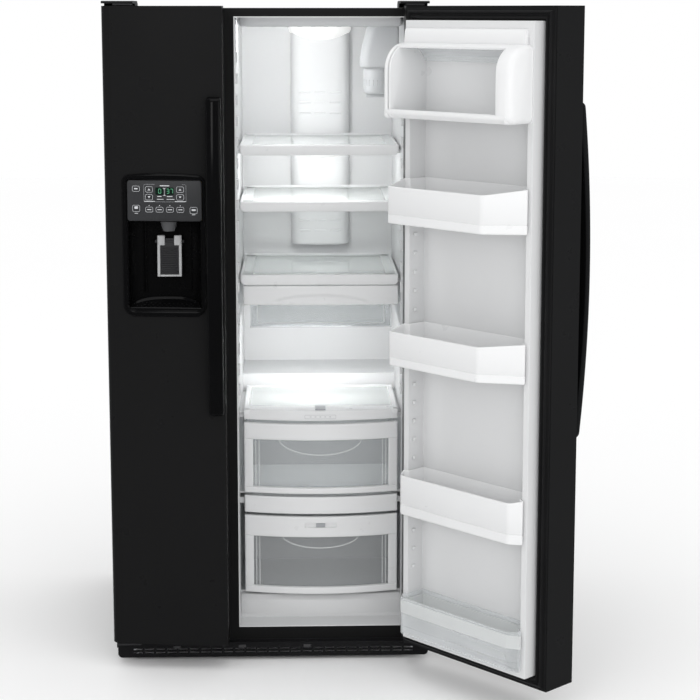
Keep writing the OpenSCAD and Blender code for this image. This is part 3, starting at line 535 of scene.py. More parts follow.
def smooth(share):
    """From 0 to 1 with level ends."""
    share = min(1.0, max(0.0, share))
    return share * share * (3 - 2 * share)


# ---------- doors ----------

# Radius of the doors' convex front, in plan
FRONT_RADIUS = 2438.0
skin_x, skin_y, _ = extent("freezer_door_skin")
# Front of the doors at the cabinet's middle
front_middle = skin_y[0] - skin_x[1] ** 2 / 2 / FRONT_RADIUS


def door_face(x):
    """Depth of the doors' convex front."""
    return front_middle + x * x / 2 / FRONT_RADIUS


def on_front(part):
    """From an outline in width and height, raised off the doors' convex front."""
    return mapped(part, lambda u, v, w: (u, door_face(u) - w, v))


def gasket(node, drawn, body):
    """Magnetic seal: a flat flange and two soft ridges, mitred at the corners."""
    (x0, x1), (y0, y1), (z0, z1) = extent(node, drawn)
    width = 30.5
    profile = [(0, 0), (0, 4.5), (4, 5), (5.5, 10.5), (8, 12.4), (11, 11.5), (12.5, 8), (14.5, 7.2),
               (17, 8.4), (19, 12), (21.5, 12.4), (24, 10), (25, 5.5), (30.5, 4.6), (30.5, 0)]
    loops = []
    for across, height in profile:
        d = width - across
        y = y0 + min(height, y1 - y0)
        loops.append([(x0 + d, y, z0 + d), (x1 - d, y, z0 + d), (x1 - d, y, z1 - d), (x0 + d, y, z1 - d)])
    made = piece(node + "_seal", *rings(loops, closed=True), drawn, body, "black_rubber", angle=60, bevel=0.5)
    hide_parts(node)


gasket("fresh_food_door_gasket", DOOR, "fresh_food_door")
gasket("freezer_door_gasket", CASE, "freezer_door")


def handle(node, drawn, body):
    """Bowed bar handle with a crowned face, which runs into the door at both ends."""
    (x0, x1), (y0, y1), (z0, z1) = extent(node, drawn)
    middle, half = (x0 + x1) / 2, (x1 - x0) / 2
    length = z1 - z0
    foot, grip = 30.0, 24.0
    outer = length * length / 8 / foot
    inner = length * length / 8 / 36.0
    loops = []
    steps = 72
    for k in range(steps + 1):
        z = z0 + length * (1 - math.cos(math.pi * k / steps)) / 2
        off = abs(z - (z0 + z1) / 2)
        front = y0 + outer - math.sqrt(outer * outer - off * off)
        back = min(y1, y0 + grip + inner - math.sqrt(inner * inner - off * off))
        end = min(z - z0, z1 - z, 12.0)
        drop = 12 - math.sqrt(max(0.0, 144 - (12 - end) ** 2))
        trim = drop * 0.45
        corners = [(middle + half - trim, back), (middle + half - trim, front + drop + 5),
                   (middle, front + drop), (middle - half + trim, front + drop + 5),
                   (middle - half + trim, back)]
        outline = arc_corners(corners, [1.5, 6, 34, 6, 1.5], 6)
        loops.append([(p.x, p.y, z) for p in outline])
    made = piece(node + "_bar", *rings(loops), drawn, body, "black_gloss", angle=50)
    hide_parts(node)


handle("freezer_door_handle", CASE, "freezer_door")
handle("fresh_food_door_handle", DOOR, "fresh_food_door")

# ---------- dispenser ----------

housing_x, housing_y, housing_z = extent("dispenser_housing")
panel_x, _, panel_z = extent("control_panel")
recess_top = panel_z[0] - 2
recess_floor = housing_z[0] + 18
recess_x = (panel_x[0] + 1, panel_x[1] - 4)
recess_mid, recess_half = sum(recess_x) / 2, (recess_x[1] - recess_x[0]) / 2
recess_back = housing_y[1] - 8


def bezel():
    """Raised surround: arched along its top, with round lower corners and an inner lip."""
    arch = 7.0
    outer = rectangle(housing_x, (housing_z[0], housing_z[1] - arch), [30, 30, 18, 18], 8, 14)
    middle, half = sum(housing_x) / 2, (housing_x[1] - housing_x[0]) / 2
    for p in outer:
        if p.y > recess_top:
            p.y += arch * (1 - ((p.x - middle) / half) ** 2)
    inner = rectangle((panel_x[0] - 0.4, panel_x[1] + 0.4), (recess_floor, panel_z[1] + 0.4),
                      [16, 16, 5, 5], 8, 14)
    levels = [(0, -0.4), (0, 1.6), (0.05, 3.2), (0.16, 4.5), (0.3, 5.0), (0.62, 5.0), (0.78, 4.2),
              (0.86, 2.6), (0.92, 3.4), (0.97, 3.2), (1, 1.8), (1, -7)]
    loops = [[(*a.lerp(b, share), lift) for a, b in zip(outer, inner)] for share, lift in levels]
    made = piece("dispenser_bezel", *on_front(rings(loops, closed=True)), CASE, "freezer_door",
                 "black_gloss", angle=70)
    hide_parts("dispenser_housing")


def recess_line(grow=0.0):
    """Plan of the recess wall, from its left front edge round the curved back to the right one."""
    line = []
    squareness = 0.72
    for k in range(41):
        a = math.pi * k / 40
        across = -math.copysign(abs(math.cos(a)) ** squareness, math.cos(a))
        deep = math.sin(a) ** squareness
        x = recess_mid + across * (recess_half + grow)
        front = door_face(x) - 1
        line.append(Vector((x, front + (recess_back + grow - front) * deep)))
    return line


def recess():
    """Wall of the dispenser's recess with its lid."""
    wall = recess_line() + recess_line(6.0)[::-1]
    shell = rings([[(p.x, p.y, z) for p in wall] for z in (recess_floor - 3, recess_top + 1)])
    lid = rings([[(p.x, p.y, z) for p in recess_line(4.0)] for z in (recess_top, recess_top + 3)])
    # Upright ribs on both sides of the paddle
    ribs = [block((x - 2, x + 2), (recess_back - 13, recess_back), (recess_floor + 40, recess_top), 1.2)
            for x in (recess_mid - 52, recess_mid + 64)]
    piece("dispenser_recess_wall", *merged(shell, lid, *ribs), CASE, "freezer_door", "black_plastic",
          DARK_SATIN, angle=60)


def tray_height(x, y):
    """The drip tray climbs towards its back."""
    front = door_face(x)
    share = (y - front) / (recess_back - front)
    return recess_floor + 5 + 22 * max(0.0, share) ** 1.6


def drip_tray():
    """Dished tray in the foot of the recess, with rows of small drain rims."""
    rim = recess_line(-1.0)[::-1]
    levels = [(0, recess_floor - 1), (0, 0.0), (0.8, 1.4), (2.4, 1.8), (4.2, 1.2), (5.4, -1.6), (9, -3),
              (16, -3.4)]
    loops = []
    for k, (distance, lift) in enumerate(levels):
        loop = inset(rim, distance)
        loops.append([(p.x, p.y, lift if k == 0 else tray_height(p.x, p.y) + lift) for p in loop])
    made = piece("drip_tray_body", *rings(loops), CASE, "freezer_door", "black_gloss", angle=60)
    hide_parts("drip_tray")
    rims = []
    for row in range(3):
        for i in range(-6 + row % 2, 7):
            x = recess_mid + i * 11.5 + (row % 2) * 5.7 - 5
            y = door_face(x) + 17 + row * 8
            z = tray_height(x, y) - 3.4
            profile = [(3.4, -1), (3.4, 0.8), (2.9, 1.5), (2.2, 0.8), (2.2, -1)]
            rims.append(rings([[(x + r * math.cos(a), y + r * 0.8 * math.sin(a), z + h) for a in around(12)]
                               for r, h in profile], closed=True))
    piece("drip_tray_drain_rims", *merged(*rims), CASE, "freezer_door", "black_gloss", angle=70)


# The ice way: where it enters the door, as depth and height, and how far it is turned from upright
CHUTE_START = (40, 1297)
CHUTE_TURN = 134


def ice_chute():
    """Sleeve of the slanting ice way through the door, with its flap."""
    nozzle_x = extent("dispenser_nozzle")[0]
    turn = Matrix.Rotation(math.radians(CHUTE_TURN), 4, "X")
    drawn = CASE @ Matrix.Translation((sum(nozzle_x) / 2, *CHUTE_START)) @ turn
    profile = [(31, 64), (31, 130), (27, 130), (27, 68), (29, 64)]
    sleeve = rings([[(r * math.cos(a), r * math.sin(a), h) for a in around(40)] for r, h in profile],
                   closed=True)
    flap = lathe((0, 0), [(27.5, 120), (27.5, 123), (24, 121.5), (6, 121)])
    piece("ice_chute_sleeve", *merged(sleeve, flap), drawn, "freezer_door", "black_plastic", DARK_SATIN,
          angle=50)


def spot(share_x, share_z):
    """A place on the control panel, as shares of its width and height from its lower left corner."""
    return (panel_x[0] + (panel_x[1] - panel_x[0]) * share_x,
            panel_z[0] + (panel_z[1] - panel_z[0]) * share_z)


# How far the panel's face stands off the door
PANEL_LIFT = 5.5


def ink(part_outline, width=0.0, lift=0.25):
    """A printed line round an outline, or the outline filled."""
    low, high = PANEL_LIFT - 0.3, PANEL_LIFT + lift
    if width:
        return on_front(band(part_outline, width, low, high))
    return on_front(tray(part_outline, [(0, low), (0, high)]))


def about(x, z, width, height, radius, steps=6):
    """A rectangle round a centre."""
    return rectangle((x - width / 2, x + width / 2), (z - height / 2, z + height / 2), radius, steps)


def bar(share_x, share_z, width, height=1.4):
    """A short printed bar, which stands in for a word."""
    return ink(about(*spot(share_x, share_z), width, height, height * 0.3, 3))


def button(share_x, share_z, width=19.0, height=14.5):
    """The printed outline of a key."""
    return ink(about(*spot(share_x, share_z), width, height, 4.0), 0.75, 0.5)


def arrow(share_x, share_z, up):
    """A printed triangle that points up or down."""
    x, z = spot(share_x, share_z)
    tip = 2.4 if up else -2.4
    return ink([Vector(p) for p in sorted([(x - 3.6, z - tip), (x + 3.6, z - tip), (x, z + tip)],
                                          key=lambda p: math.atan2(p[1] - z, p[0] - x))])


def digit(centre, segments):
    """Seven segment figure, from the letters of its lit segments."""
    x, z = centre
    height, width, line = 11.0, 6.0, 1.3
    w, h = width / 2, height / 2
    places = {"a": (0, h, 1), "g": (0, 0, 1), "d": (0, -h, 1), "f": (-w, h / 2, 0), "b": (w, h / 2, 0),
              "e": (-w, -h / 2, 0), "c": (w, -h / 2, 0)}
    parts = []
    for letter in segments:
        dx, dz, level = places[letter]
        size = (width - 1, line) if level else (line, h - 1)
        parts.append(ink(about(x + dx, z + dz, *size, 0.4, 2), lift=0.5))
    return merged(*parts)


def control_panel():
    """Flat key panel: a grid of outlined keys round two small figures."""
    face = pillow(rectangle(panel_x, panel_z, 7, 6, 12), -2, PANEL_LIFT, 2.4)
    made = piece("control_panel_face", *on_front(face), CASE, "freezer_door", "panel_grey", angle=60)
    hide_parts("control_panel")
    columns = [0.295, 0.434, 0.573, 0.712]
    low_row, top_row, second_row = 0.285, 0.78, 0.59
    marks = [button(0.12, 0.795), button(0.12, 0.31, 19, 17), button(0.89, 0.27, 19, 17)]
    marks += [bar(0.12, 0.795, 9, 3.2), bar(0.12, 0.33, 9, 6.5), bar(0.12, 0.19, 9),
              bar(0.89, 0.28, 10, 4.5), bar(0.89, 0.165, 9)]
    for x in columns:
        marks += [button(x, low_row, 19, 13.5), bar(x, low_row, 11, 2.0), bar(x, 0.385, 2.2, 2.2)]
    for x in (columns[0], columns[3]):
        for z, up in ((top_row, True), (second_row, False)):
            marks += [button(x, z, 19, 15), arrow(x, z, up)]
        marks.append(bar(x + (0.005 if x < 0.5 else 0.003), 0.488, 28, 1.5))
    marks += [bar(0.505, 0.872, 24, 2.4), bar(0.502, 0.72, 0.8, 19)]
    for x, wide in ((0.434, 13), (0.573, 16)):
        marks += [bar(x, 0.61, wide - 2, 2.0), bar(x + 0.01, 0.54, wide + 4, 1.5)]
    group = rectangle((spot(0.225, 0)[0], spot(0.792, 0)[0]), (spot(0, 0.475)[1], spot(0, 0.905)[1]), 3)
    marks.append(ink(group, 0.35, 0.1))
    piece("control_panel_marks", *merged(*marks), CASE, "freezer_door", "panel_grey", MARK, smooth=False)
    window_z = (spot(0, 0.65)[1], spot(0, 0.83)[1])
    middles = [spot(x, 0)[0] for x in columns[1:3]]
    window = [ink(rectangle((x - 10, x + 10), window_z, 1.5), lift=0.12) for x in middles]
    piece("display_windows", *merged(*window), CASE, "freezer_door", "panel_grey", DISPLAY, smooth=False)
    tens, units, left = spot(0.548, 0.74), spot(0.598, 0.74), spot(0.44, 0.74)
    figures = merged(digit(left, "abcdef"), digit(tens, "abgcd"), digit(units, "abc"))
    piece("display_figures", *figures, CASE, "freezer_door", "panel_grey", DIGIT, smooth=False)


def nozzle():
    """Turned water spout with a narrow mouth."""
    (x0, x1), (y0, y1), (z0, z1) = extent("dispenser_nozzle")
    centre = ((x0 + x1) / 2, (y0 + y1) / 2)
    low = z0 + 12
    profile = [(9, low + 5), (12, low + 1), (13.5, low), (15.4, low + 0.8), (16.2, low + 3), (16.4, low + 5),
               (17.2, low + 6), (21.8, z1 - 1), (21.8, z1)]
    made = piece("dispenser_nozzle_spout", *lathe(centre, profile), CASE, "freezer_door", "grey_plastic",
                 SPOUT, angle=50)
    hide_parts("dispenser_nozzle")


def paddle():
    """Lever that starts the dispenser: bright side rails and cheeks round a dark ribbed pad."""
    hinge = CASE.inverted() @ Vector(joints["paddle_pivot"]["pos_m"])
    drawn = CASE @ Matrix.Translation(hinge) @ Matrix.Rotation(math.radians(-4), 4, "X")
    half, low, high = 31.0, -90.0, 16.0
    rails = [block((x - 3.6, x + 3.6), (-7, 2.5), (low, high), 1.6) for x in (3.6 - half, half - 3.6)]
    cheeks = [block((s * 21 - 9.5, s * 21 + 9.5), (-9, 2.5), (-10, high), 3.2) for s in (-1, 1)]
    foot = block((-half, half), (-5, 2.5), (low, low + 5), 1.4)
    made = piece("paddle_rails", *merged(*rails, *cheeks, foot), drawn, "paddle", "stainless", SILVER,
                 angle=50)
    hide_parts("dispenser_paddle")
    plate = block((-25, 25), (-2.5, 2.5), (low + 3, 8), 0.8)
    ribs = [block((-22, 22), (-5.2, -1), (low + 7 + k * 5.4, low + 10.4 + k * 5.4), 1.2) for k in range(13)]
    axle = sideways(lathe((0, 0), [(4, -37), (4, 37)], 20))
    piece("paddle_pad", *merged(plate, *ribs, axle), drawn, "paddle", "dark_plastic", angle=50)


bezel()
recess()
drip_tray()
ice_chute()
control_panel()
nozzle()
paddle()

# ---------- fresh food door ----------

bins_x = extent("fresh_food_door_bins", DOOR)[0]
door_back = extent("fresh_food_door_gasket", DOOR)[1][0] - 0.1
# Inner face of the liner's raised ring
ring_top = door_back + 42
BIN_MARGIN = 20


def bin_outline(x, reach, slant):
    """Plan of a door bin: straight along its front, cut back on a slant at its free end."""
    front = door_back + reach
    corners = [(x[0] + 18, door_back - 11), (x[1] - 16, door_back - 11), (x[1] - 16, ring_top + 1),
               (x[1], ring_top + 5), (x[1] - 12, front), (x[0] + slant, front), (x[0], ring_top + 7),
               (x[0] + 18, ring_top + 1)]
    return arc_corners(corners, [3, 3, 2, 3, 12, 26, 4, 2], 7)


def bin_part(outline, z, rise, wall=3.2):
    """A bin: rounded foot, a crease line above it, and a rolled rim that climbs towards the door."""
    front = max(p.y for p in outline)
    height = z[1] - z[0]
    crease = z[0] + height * 0.25

    def rim(drop):
        def at(p):
            return z[1] - drop + rise * smooth((front - p.y) / (front - ring_top))
        return at

    levels = [(6, z[0]), (3, z[0] + 0.5), (1.2, z[0] + 1.6), (0.3, z[0] + 3.4), (0, z[0] + 6),
              (0, crease - 1.2), (1.2, crease - 0.5), (1.4, crease + 0.5), (0.3, crease + 1.6),
              (0.3, z[1] - 12), (0.0, rim(4)), (0.0, rim(2)), (0.6, rim(0.6)), (1.7, rim(0)),
              (wall - 0.4, rim(0.6)), (wall, rim(2)), (wall, z[0] + 8), (wall + 1, z[0] + 5.5),
              (wall + 2.5, z[0] + 4.5)]
    return tray(outline, levels)


def door_bins():
    """The three white bins. Each has its own slant at the free end and climb of its rim."""
    shapes = [("gallon_bin", 84, 14), ("middle_bin", 98, 10), ("lower_bin", 34, 8)]
    for (name, slant, rise), (_, y, z) in zip(shapes, solids("fresh_food_door_bins", DOOR)[::-1]):
        outline = bin_outline(bins_x, y[1] - door_back, slant)
        piece(name, *bin_part(outline, z, rise), DOOR, "fresh_food_door", "white_plastic",
                          angle=55)
    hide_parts("fresh_food_door_bins")


def retainer():
    """Clear bottle rail with a frosted band."""
    x, (_, y1), (z0, z1) = extent("bottle_retainer", DOOR)
    outline = bin_outline(x, y1 - door_back, 36)
    made = piece("bottle_rail", *bin_part(outline, (z0, z1 - 6), 6, 2.6), DOOR, "fresh_food_door",
                 "clear_plastic", angle=55)
    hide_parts("bottle_retainer")
    section = [(-0.5, 46), (-0.9, 44), (-0.9, 15), (-0.5, 13), (2.9, 13), (2.9, 46)]
    frost = rings([[(p.x, p.y, z1 - drop) for p in inset(outline, d)] for d, drop in section], closed=True)
    piece("bottle_rail_band", *frost, DOOR, "fresh_food_door", "frosted_plastic", FROST, angle=55)


# Depth and height of the dairy cover's hinge
_, axis_y, axis_z = [round(c, 1) for c in DOOR.inverted() @ Vector(joints["dairy_lid_hinge"]["pos_m"])]


def dairy_arc(radius, turns):
    """Points round the dairy cover's hinge."""
    return [Vector((axis_y + radius * math.cos(a), axis_z + radius * math.sin(a))) for a in turns]


def dairy_profile(radius, y_back, bottom, corner=9.0):
    """Side view of the dairy compartment: upright front that rolls over into the top."""
    front = axis_y + radius
    line = [Vector((y_back, bottom))]
    for k in range(7):
        a = -math.pi / 2 + math.pi / 2 * k / 6
        line.append(Vector((front - corner + corner * math.cos(a), bottom + corner + corner * math.sin(a))))
    line += dairy_arc(radius, [math.pi / 2 * k / 24 for k in range(25)])
    line.append(Vector((y_back, axis_z + radius)))
    return line


def dairy():
    """Dairy compartment: a thick rounded cheek at the free end, a thin one at the hinge, floor and top."""
    (x0, x1), (_, y1), (z0, z1) = extent("dairy_compartment", DOOR)
    radius = y1 - axis_y
    wall_back = door_back - 11
    side = dairy_profile(radius, ring_top - 15.5, z0)
    inside = dairy_profile(radius - 1, wall_back, z0 + 1)
    thick, thin = 46.0, 11.0
    soft_side = dairy_profile(radius, ring_top - 15.5, z0, 24.0)
    big = sideways(tray(soft_side, [(16, x0), (9.5, x0 + 1.4), (5, x0 + 4.6), (1.6, x0 + 9.5), (0, x0 + 16),
                                    (0, x0 + thick - 3), (0.9, x0 + thick - 0.9), (3, x0 + thick)]))
    small = sideways(pillow(side, x1 - thin, x1, 3.6))
    wall = [sideways(pillow(inside, a, b, 1.0)) for a, b in ((x0 + 16, x0 + 21), (x1 - 21, x1 - 16))]
    span = (x0 + 14, x1 - 4)
    floor = [(wall_back, z0), (y1 - 12, z0), (y1, z0 + 12), (y1, z0 + 19), (y1 - 5, z0 + 23),
             (y1 - 9, z0 + 19), (y1 - 12, z0 + 6), (wall_back, z0 + 6)]
    floor = arc_corners(floor, [1, 9, 7, 2.5, 2.2, 2.5, 4, 1], 5)
    floor = sideways(tray(floor, [(0, span[0]), (0, span[1])]))
    # A shoulder above the top closes the gap to the liner
    roof = [Vector(p) for p in ((wall_back, z1 + 31), (ring_top + 3, z1 + 31), (ring_top + 7, z1 + 29),
                                (ring_top + 9.5, z1 + 25), (ring_top + 11, z1 + 16), (ring_top + 12, z1 + 6))]
    turns = [math.radians(90 - k * 3) for k in range(11)]
    roof += dairy_arc(radius, turns) + dairy_arc(radius - 4, turns[::-1])
    roof.append(Vector((wall_back, axis_z + radius - 4)))
    roof = sideways(rings([[(p.x, p.y, x) for p in roof] for x in span]))
    back = block((x0 + 16, x1 - 16), (wall_back, wall_back + 3), (z0, axis_z + radius - 1), 1.0)
    made = piece("dairy_housing", *merged(big, small, *wall, floor, roof, back), DOOR, "fresh_food_door",
                 "white_plastic", angle=40)
    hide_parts("dairy_compartment")
    dairy_lid((x0 + thick + 2, x1 - thin - 2))


def dairy_lid(x):
    """Clear curved cover with two cheeks and hinge pins."""
    arc = [math.radians(64 + 96 * k / 40) for k in range(41)]
    line = dairy_arc(61, arc) + dairy_arc(58.5, arc[::-1])
    sheet = sideways(rings([[(p.x, p.y, end) for p in line] for end in x]))
    fan = dairy_arc(60, arc[4:-4]) + [Vector((axis_y - 6, axis_z - 2)), Vector((axis_y + 4, axis_z - 5))]
    arms = [sideways(rings([[(p.x, p.y, low + d) for p in fan] for d in (0, 2.5)]))
            for low in (x[0], x[1] - 2.5)]
    pins = [sideways(lathe((axis_y, axis_z), [(3, a), (3, b)], 20))
            for a, b in ((x[0] - 6, x[0] + 1), (x[1] - 1, x[1] + 6))]
    lens = piece("dairy_cover_lens", *merged(sheet, *arms, *pins), DOOR, "dairy_lid", "clear_plastic",
                 angle=50)
    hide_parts("dairy_cover")


def liner_lugs():
    """Small bosses up both sides of the door liner, clear of the bins that hook on there."""
    bins = [z for _, _, z in solids("fresh_food_door_bins", DOOR)]
    low, high = extent("bottle_retainer", DOOR)[2][1] + 64, bins[-1][0] - BIN_MARGIN
    lugs = []
    for z in range(round(low), round(high), 48):
        if any(a - BIN_MARGIN < z < b + BIN_MARGIN for a, b in bins):
            continue
        for x in (liner_inner[0] - 1, liner_inner[1] - 5):
            lugs.append(block((x, x + 6), (4, 15), (z, z + 9), 2.0))
    piece("door_liner_lugs", *merged(*lugs), DOOR, "fresh_food_door", "white_liner", angle=50)


# Side walls of the door liner's hollow
liner_inner = (bins_x[0] + 17, bins_x[1] - 15)
door_bins()
retainer()
dairy()
liner_lugs()

# ---------- fresh food compartment ----------

frame_x, frame_y, _ = extent("shelf_frames")
shelf_tops = [z[1] for _, _, z in solids("shelf_frames")]


def shelf(z, number):
    """Shelf rim: a deep front band with round ends, slim side and back rails with a ledge for the glass."""
    x0, x1 = frame_x
    front = frame_y[0]
    parts = [sculpted((x0, x1), (z - 28, z), lambda u, v: front + 1.4 * smooth((z - 15 - v) / 14),
                      front + 13, 3.0, 13.0, (48, 12))]
    for a, b in ((x0, x0 + 6.2), (x1 - 6.2, x1)):
        parts.append(block((a, b), (front + 6, frame_y[1]), (z - 14, z), 1.4))
    for a, b in ((x0 + 5, x0 + 12), (x1 - 12, x1 - 5)):
        parts.append(block((a, b), (front + 8, frame_y[1] - 3), (z - 14, z - 5.2), 1.2))
    parts.append(block((x0, x1), (frame_y[1] - 6, frame_y[1]), (z - 14, z + 4), 1.6))
    parts.append(block((x0 + 2, x1 - 2), (frame_y[1] - 12, frame_y[1] - 4), (z - 14, z - 5.2), 1.2))
    made = piece("shelf_rim_%d" % number, *merged(*parts), CASE, "cabinet", "white_plastic", angle=50)
    border = rectangle((x0 + 7, x1 - 7), (front + 10, frame_y[1] - 7), 3)
    piece("shelf_print_%d" % number, *band(border, 25, z - 0.98, z - 0.7), CASE, "cabinet",
          "frosted_plastic", FROST)
    return made


def shelves():
    """The three shelves, and the runners of the snack pan under the lowest one."""
    made = [shelf(z, k + 1) for k, z in enumerate(shelf_tops)]
    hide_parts("shelf_frames")
    pan_x, pan_y, _ = extent("snack_pan")
    low, high = solids("shelf_frames")[0][2]
    y = (frame_y[0] + 16, pan_y[1])
    rails = []
    for s, x in ((1, pan_x[0] - 5.4), (-1, pan_x[1] + 5.4)):
        rails.append(block(sorted((x, x + s * 4)), y, (low + 2, high - 12), 0.8))
        rails.append(block(sorted((x, x + s * 10)), y, (low, low + 5.6), 0.8))
    piece("snack_pan_runners", *merged(*rails), CASE, "cabinet", "white_plastic", angle=50)


def side_ladders():
    """Moulded shelf lugs up the front of both side walls."""
    walls = (frame_x[0] - 6, frame_x[1] + 6)
    first, pitch, rows = 700, 55, 17
    lugs = []
    for z in range(first, first + rows * pitch, pitch):
        lugs.append(block((walls[0] - 1, walls[0] + 4.6), (60, 92), (z, z + 26), 2.2))
        lugs.append(block((walls[1] - 4.6, walls[1] + 1), (60, 92), (z, z + 26), 2.2))
        lugs.append(block((walls[0] - 1, walls[0] + 3.6), (100, 122), (z + 8, z + 20), 1.6))
    piece("side_wall_lugs", *merged(*lugs), CASE, "cabinet", "white_liner", angle=50)


def floor_step():
    """Raised moulded floor under the lowest drawer."""
    low, high = extent("fresh_food_liner")[2][0], extent("meat_pan_front")[2][0] - 6
    walls = (frame_x[0] - 5.5, frame_x[1] + 5.5)
    side = [(72, low), (560, low), (560, high), (92, high), (76, high - 14)]
    side = arc_corners(side, [1, 2, 2, 9, 6], 6)
    step = sideways(tray(side, [(1, walls[0]), (0, walls[0] + 1), (0, walls[1] - 1), (1, walls[1])]))
    pad = block((walls[0] + 90, walls[1] - 20), (110, 540), (high - 2, high + 2.5), 1.5)
    piece("liner_floor_step", *merged(step, pad), CASE, "cabinet", "white_liner", angle=50)


def light_tower():
    """Convex air column with louvres, and the round lamp lenses on it."""
    (x0, x1), (_, y1), (z0, z1) = extent("air_tower")
    middle, half = (x0 + x1) / 2, 84.0

    def plan(width, depth, back, power):
        turns = [math.pi * k / 28 for k in range(29)]
        return [Vector((middle - width * math.copysign(abs(math.cos(a)) ** power, math.cos(a)),
                        back - depth * math.sin(a) ** power)) for a in turns]

    column = plan(half, 53, y1, 0.62)
    body = tray(column, [(6, z0), (2, z0 + 1.5), (0, z0 + 6), (0, z1 - 2)])
    louvres = []
    for rise in (40, 70, 100, 130, 380, 410, 440):
        for k in (-1, 0, 1):
            x, z = middle + k * 44, z0 + rise
            louvres.append(block((x - 17, x + 17), (y1 - 54, y1 - 46), (z, z + 5), 2.0))
    made = piece("air_tower_cover", *merged(body, *louvres), CASE, "cabinet", "white_plastic", angle=50)
    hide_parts("air_tower")
    under_shelf = shelf_tops[2] - 37
    for name, low, bowl, high in (("ceiling_lamp_lens", z1 - 68, 44, z1),
                                  ("shelf_lamp_lens", under_shelf - 36, 26, under_shelf)):
        rim = plan(91, 93, y1, 1.0)
        loops = []
        for k in range(1, 13):
            a = math.pi / 2 * k / 12
            loops.append([(middle + (p.x - middle) * math.sin(a), y1 + (p.y - y1) * math.sin(a),
                           low + bowl * (1 - math.cos(a))) for p in rim])
        loops.append([(p.x, p.y, high) for p in rim])
        piece(name, *rings(loops), CASE, "cabinet", "frosted_plastic", LAMP, angle=60)


def light_shroud():
    """Grey shroud over the front lamps, with a round left end."""
    x, y, (z0, z1) = extent("ceiling_light_shield")
    body = tray(rectangle(x, y, [44, 8, 8, 8], 8),
                [(14, z0), (7, z0 + 0.6), (2.6, z0 + 3.4), (0.5, z0 + 9), (0, z0 + 14), (0, z1)])
    ribs = [block((a, a + 12), (y[0] + 60, y[0] + 220), (z0 - 1.2, z0 + 2), 1.0) for a in range(-30, 300, 34)]
    made = piece("ceiling_shroud", *merged(body, *ribs), CASE, "cabinet", "frosted_plastic", SHROUD, angle=60)
    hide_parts("ceiling_light_shield")


def water_filter():
    """Filter head that widens downwards, and the round cartridge twisted into it."""
    (_, right), _, (z0, z1) = extent("water_filter_housing")
    axis = CASE.inverted() @ Vector(joints["filter_twist"]["pos_m"])
    loops = []
    for z, reach, front in ((z0, 36, 36), (z0, 42, 42), (z0 + 1.5, 44.5, 44.5), (z0 + 5, 46, 46),
                            (z0 + 26, 46.5, 46.5), (z0 + 50, 42, 45), (z0 + 80, 34, 41), (z1, 26, 36)):
        plan = rectangle((axis.x - reach, right), (axis.y - front, axis.y + 46), [26, 6, 6, 26], 8)
        loops.append([(p.x, p.y, z) for p in plan])
    # Head and cartridge take the darkened white, which paints in the shade they sit in
    made = piece("filter_head", *rings(loops), CASE, "cabinet", "white_plastic", SHADED_FILTER_WHITE, angle=50)
    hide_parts("water_filter_housing")
    low = extent("water_filter_cartridge")[2][0] + 10
    profile = [(22, low), (30, low + 1.2), (34, low + 5), (35.6, low + 11), (36, low + 20), (36, low + 62),
               (35, low + 64), (35, low + 66), (36, low + 68), (36, z0 + 6)]
    grip = block((axis.x - 30, axis.x + 30), (axis.y - 3.4, axis.y + 3.4), (low - 9, low + 3), 2.4)
    flutes = []
    for k in range(20):
        a = 2 * math.pi * k / 20
        x, y = axis.x + 35.7 * math.cos(a), axis.y + 35.7 * math.sin(a)
        flutes.append(lathe((x, y), [(0.3, low + 22), (1.5, low + 24), (1.5, low + 38), (0.3, low + 40)], 8))
    made = piece("filter_cartridge", *merged(lathe((axis.x, axis.y), profile), grip, *flutes), CASE, "filter",
                 "white_plastic", SHADED_FILTER_WHITE, angle=50)
    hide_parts("water_filter_cartridge")


shelves()
side_ladders()
floor_step()
light_tower()
light_shroud()
water_filter()

# ---------- drawers ----------

drawer_x = extent("crisper_front")[0]
drawer_y = extent("crisper_front")[1][0]
# Radius of the lower drawers' convex fronts, in plan
DRAWER_RADIUS = 722.0
drawer_mid = sum(frame_x) / 2


def drawer_face(x):
    """Depth of the lower drawers' convex fronts."""
    return drawer_y + DRAWER_RADIUS - math.sqrt(DRAWER_RADIUS ** 2 - (x - drawer_mid) ** 2)


def raised(part):
    """From an outline in width and height, raised off the lower drawers' fronts."""
    return mapped(part, lambda u, v, w: (u, drawer_face(u) - w, v))


def strip(x, z, edge, thick, depth=lambda u, v: 0.0, grid=(60, 12), lines=((), ())):
    """A rounded strip that follows the lower drawers' fronts. Its depth is measured from there."""
    straight = sculpted(x, z, depth, thick, edge, 0.0, grid, lines)
    return mapped(straight, lambda u, w, v: (u, drawer_face(u) + w, v))


def snack_header():
    """White header with an arched finger scoop along its lower edge."""
    (x0, x1), (y0, y1), (z0, z1) = extent("snack_pan_front")

    def face(u, v):
        bow = y0 + (u - drawer_mid) ** 2 / 2 / 1500
        across = 1 - ((u - drawer_mid) / 135) ** 2
        arch = z0 + 5 + 26 * max(0.0, across) ** 0.6
        return bow + 4.5 * smooth((arch - v) / 7) * smooth(across * 3)

    made = piece("snack_header", *sculpted((x0, x1), (z0, z1), face, y1 - 1, 3.0, 4.0, (90, 26)), CASE,
                 "snack_drawer", "white_plastic", angle=60)
    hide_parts("snack_pan_front")


def snack_rim():
    """Two raised frames on the front wall of the clear snack pan."""
    (x0, x1), (y0, _), (z0, z1) = extent("snack_pan")
    flange = 7.6
    frames = []
    for d in (0.6, 19.0):
        outline = rectangle((x0 + flange + d, x1 - flange - d), (z0 + d * 0.6, z1 - 20), 7)
        frames.append(facing(band(outline, 2.4, -y0 - 1.2, -y0 + 0.9)))
    piece("snack_pan_rim", *merged(*frames), CASE, "snack_drawer", "clear_plastic", RIM, angle=60)


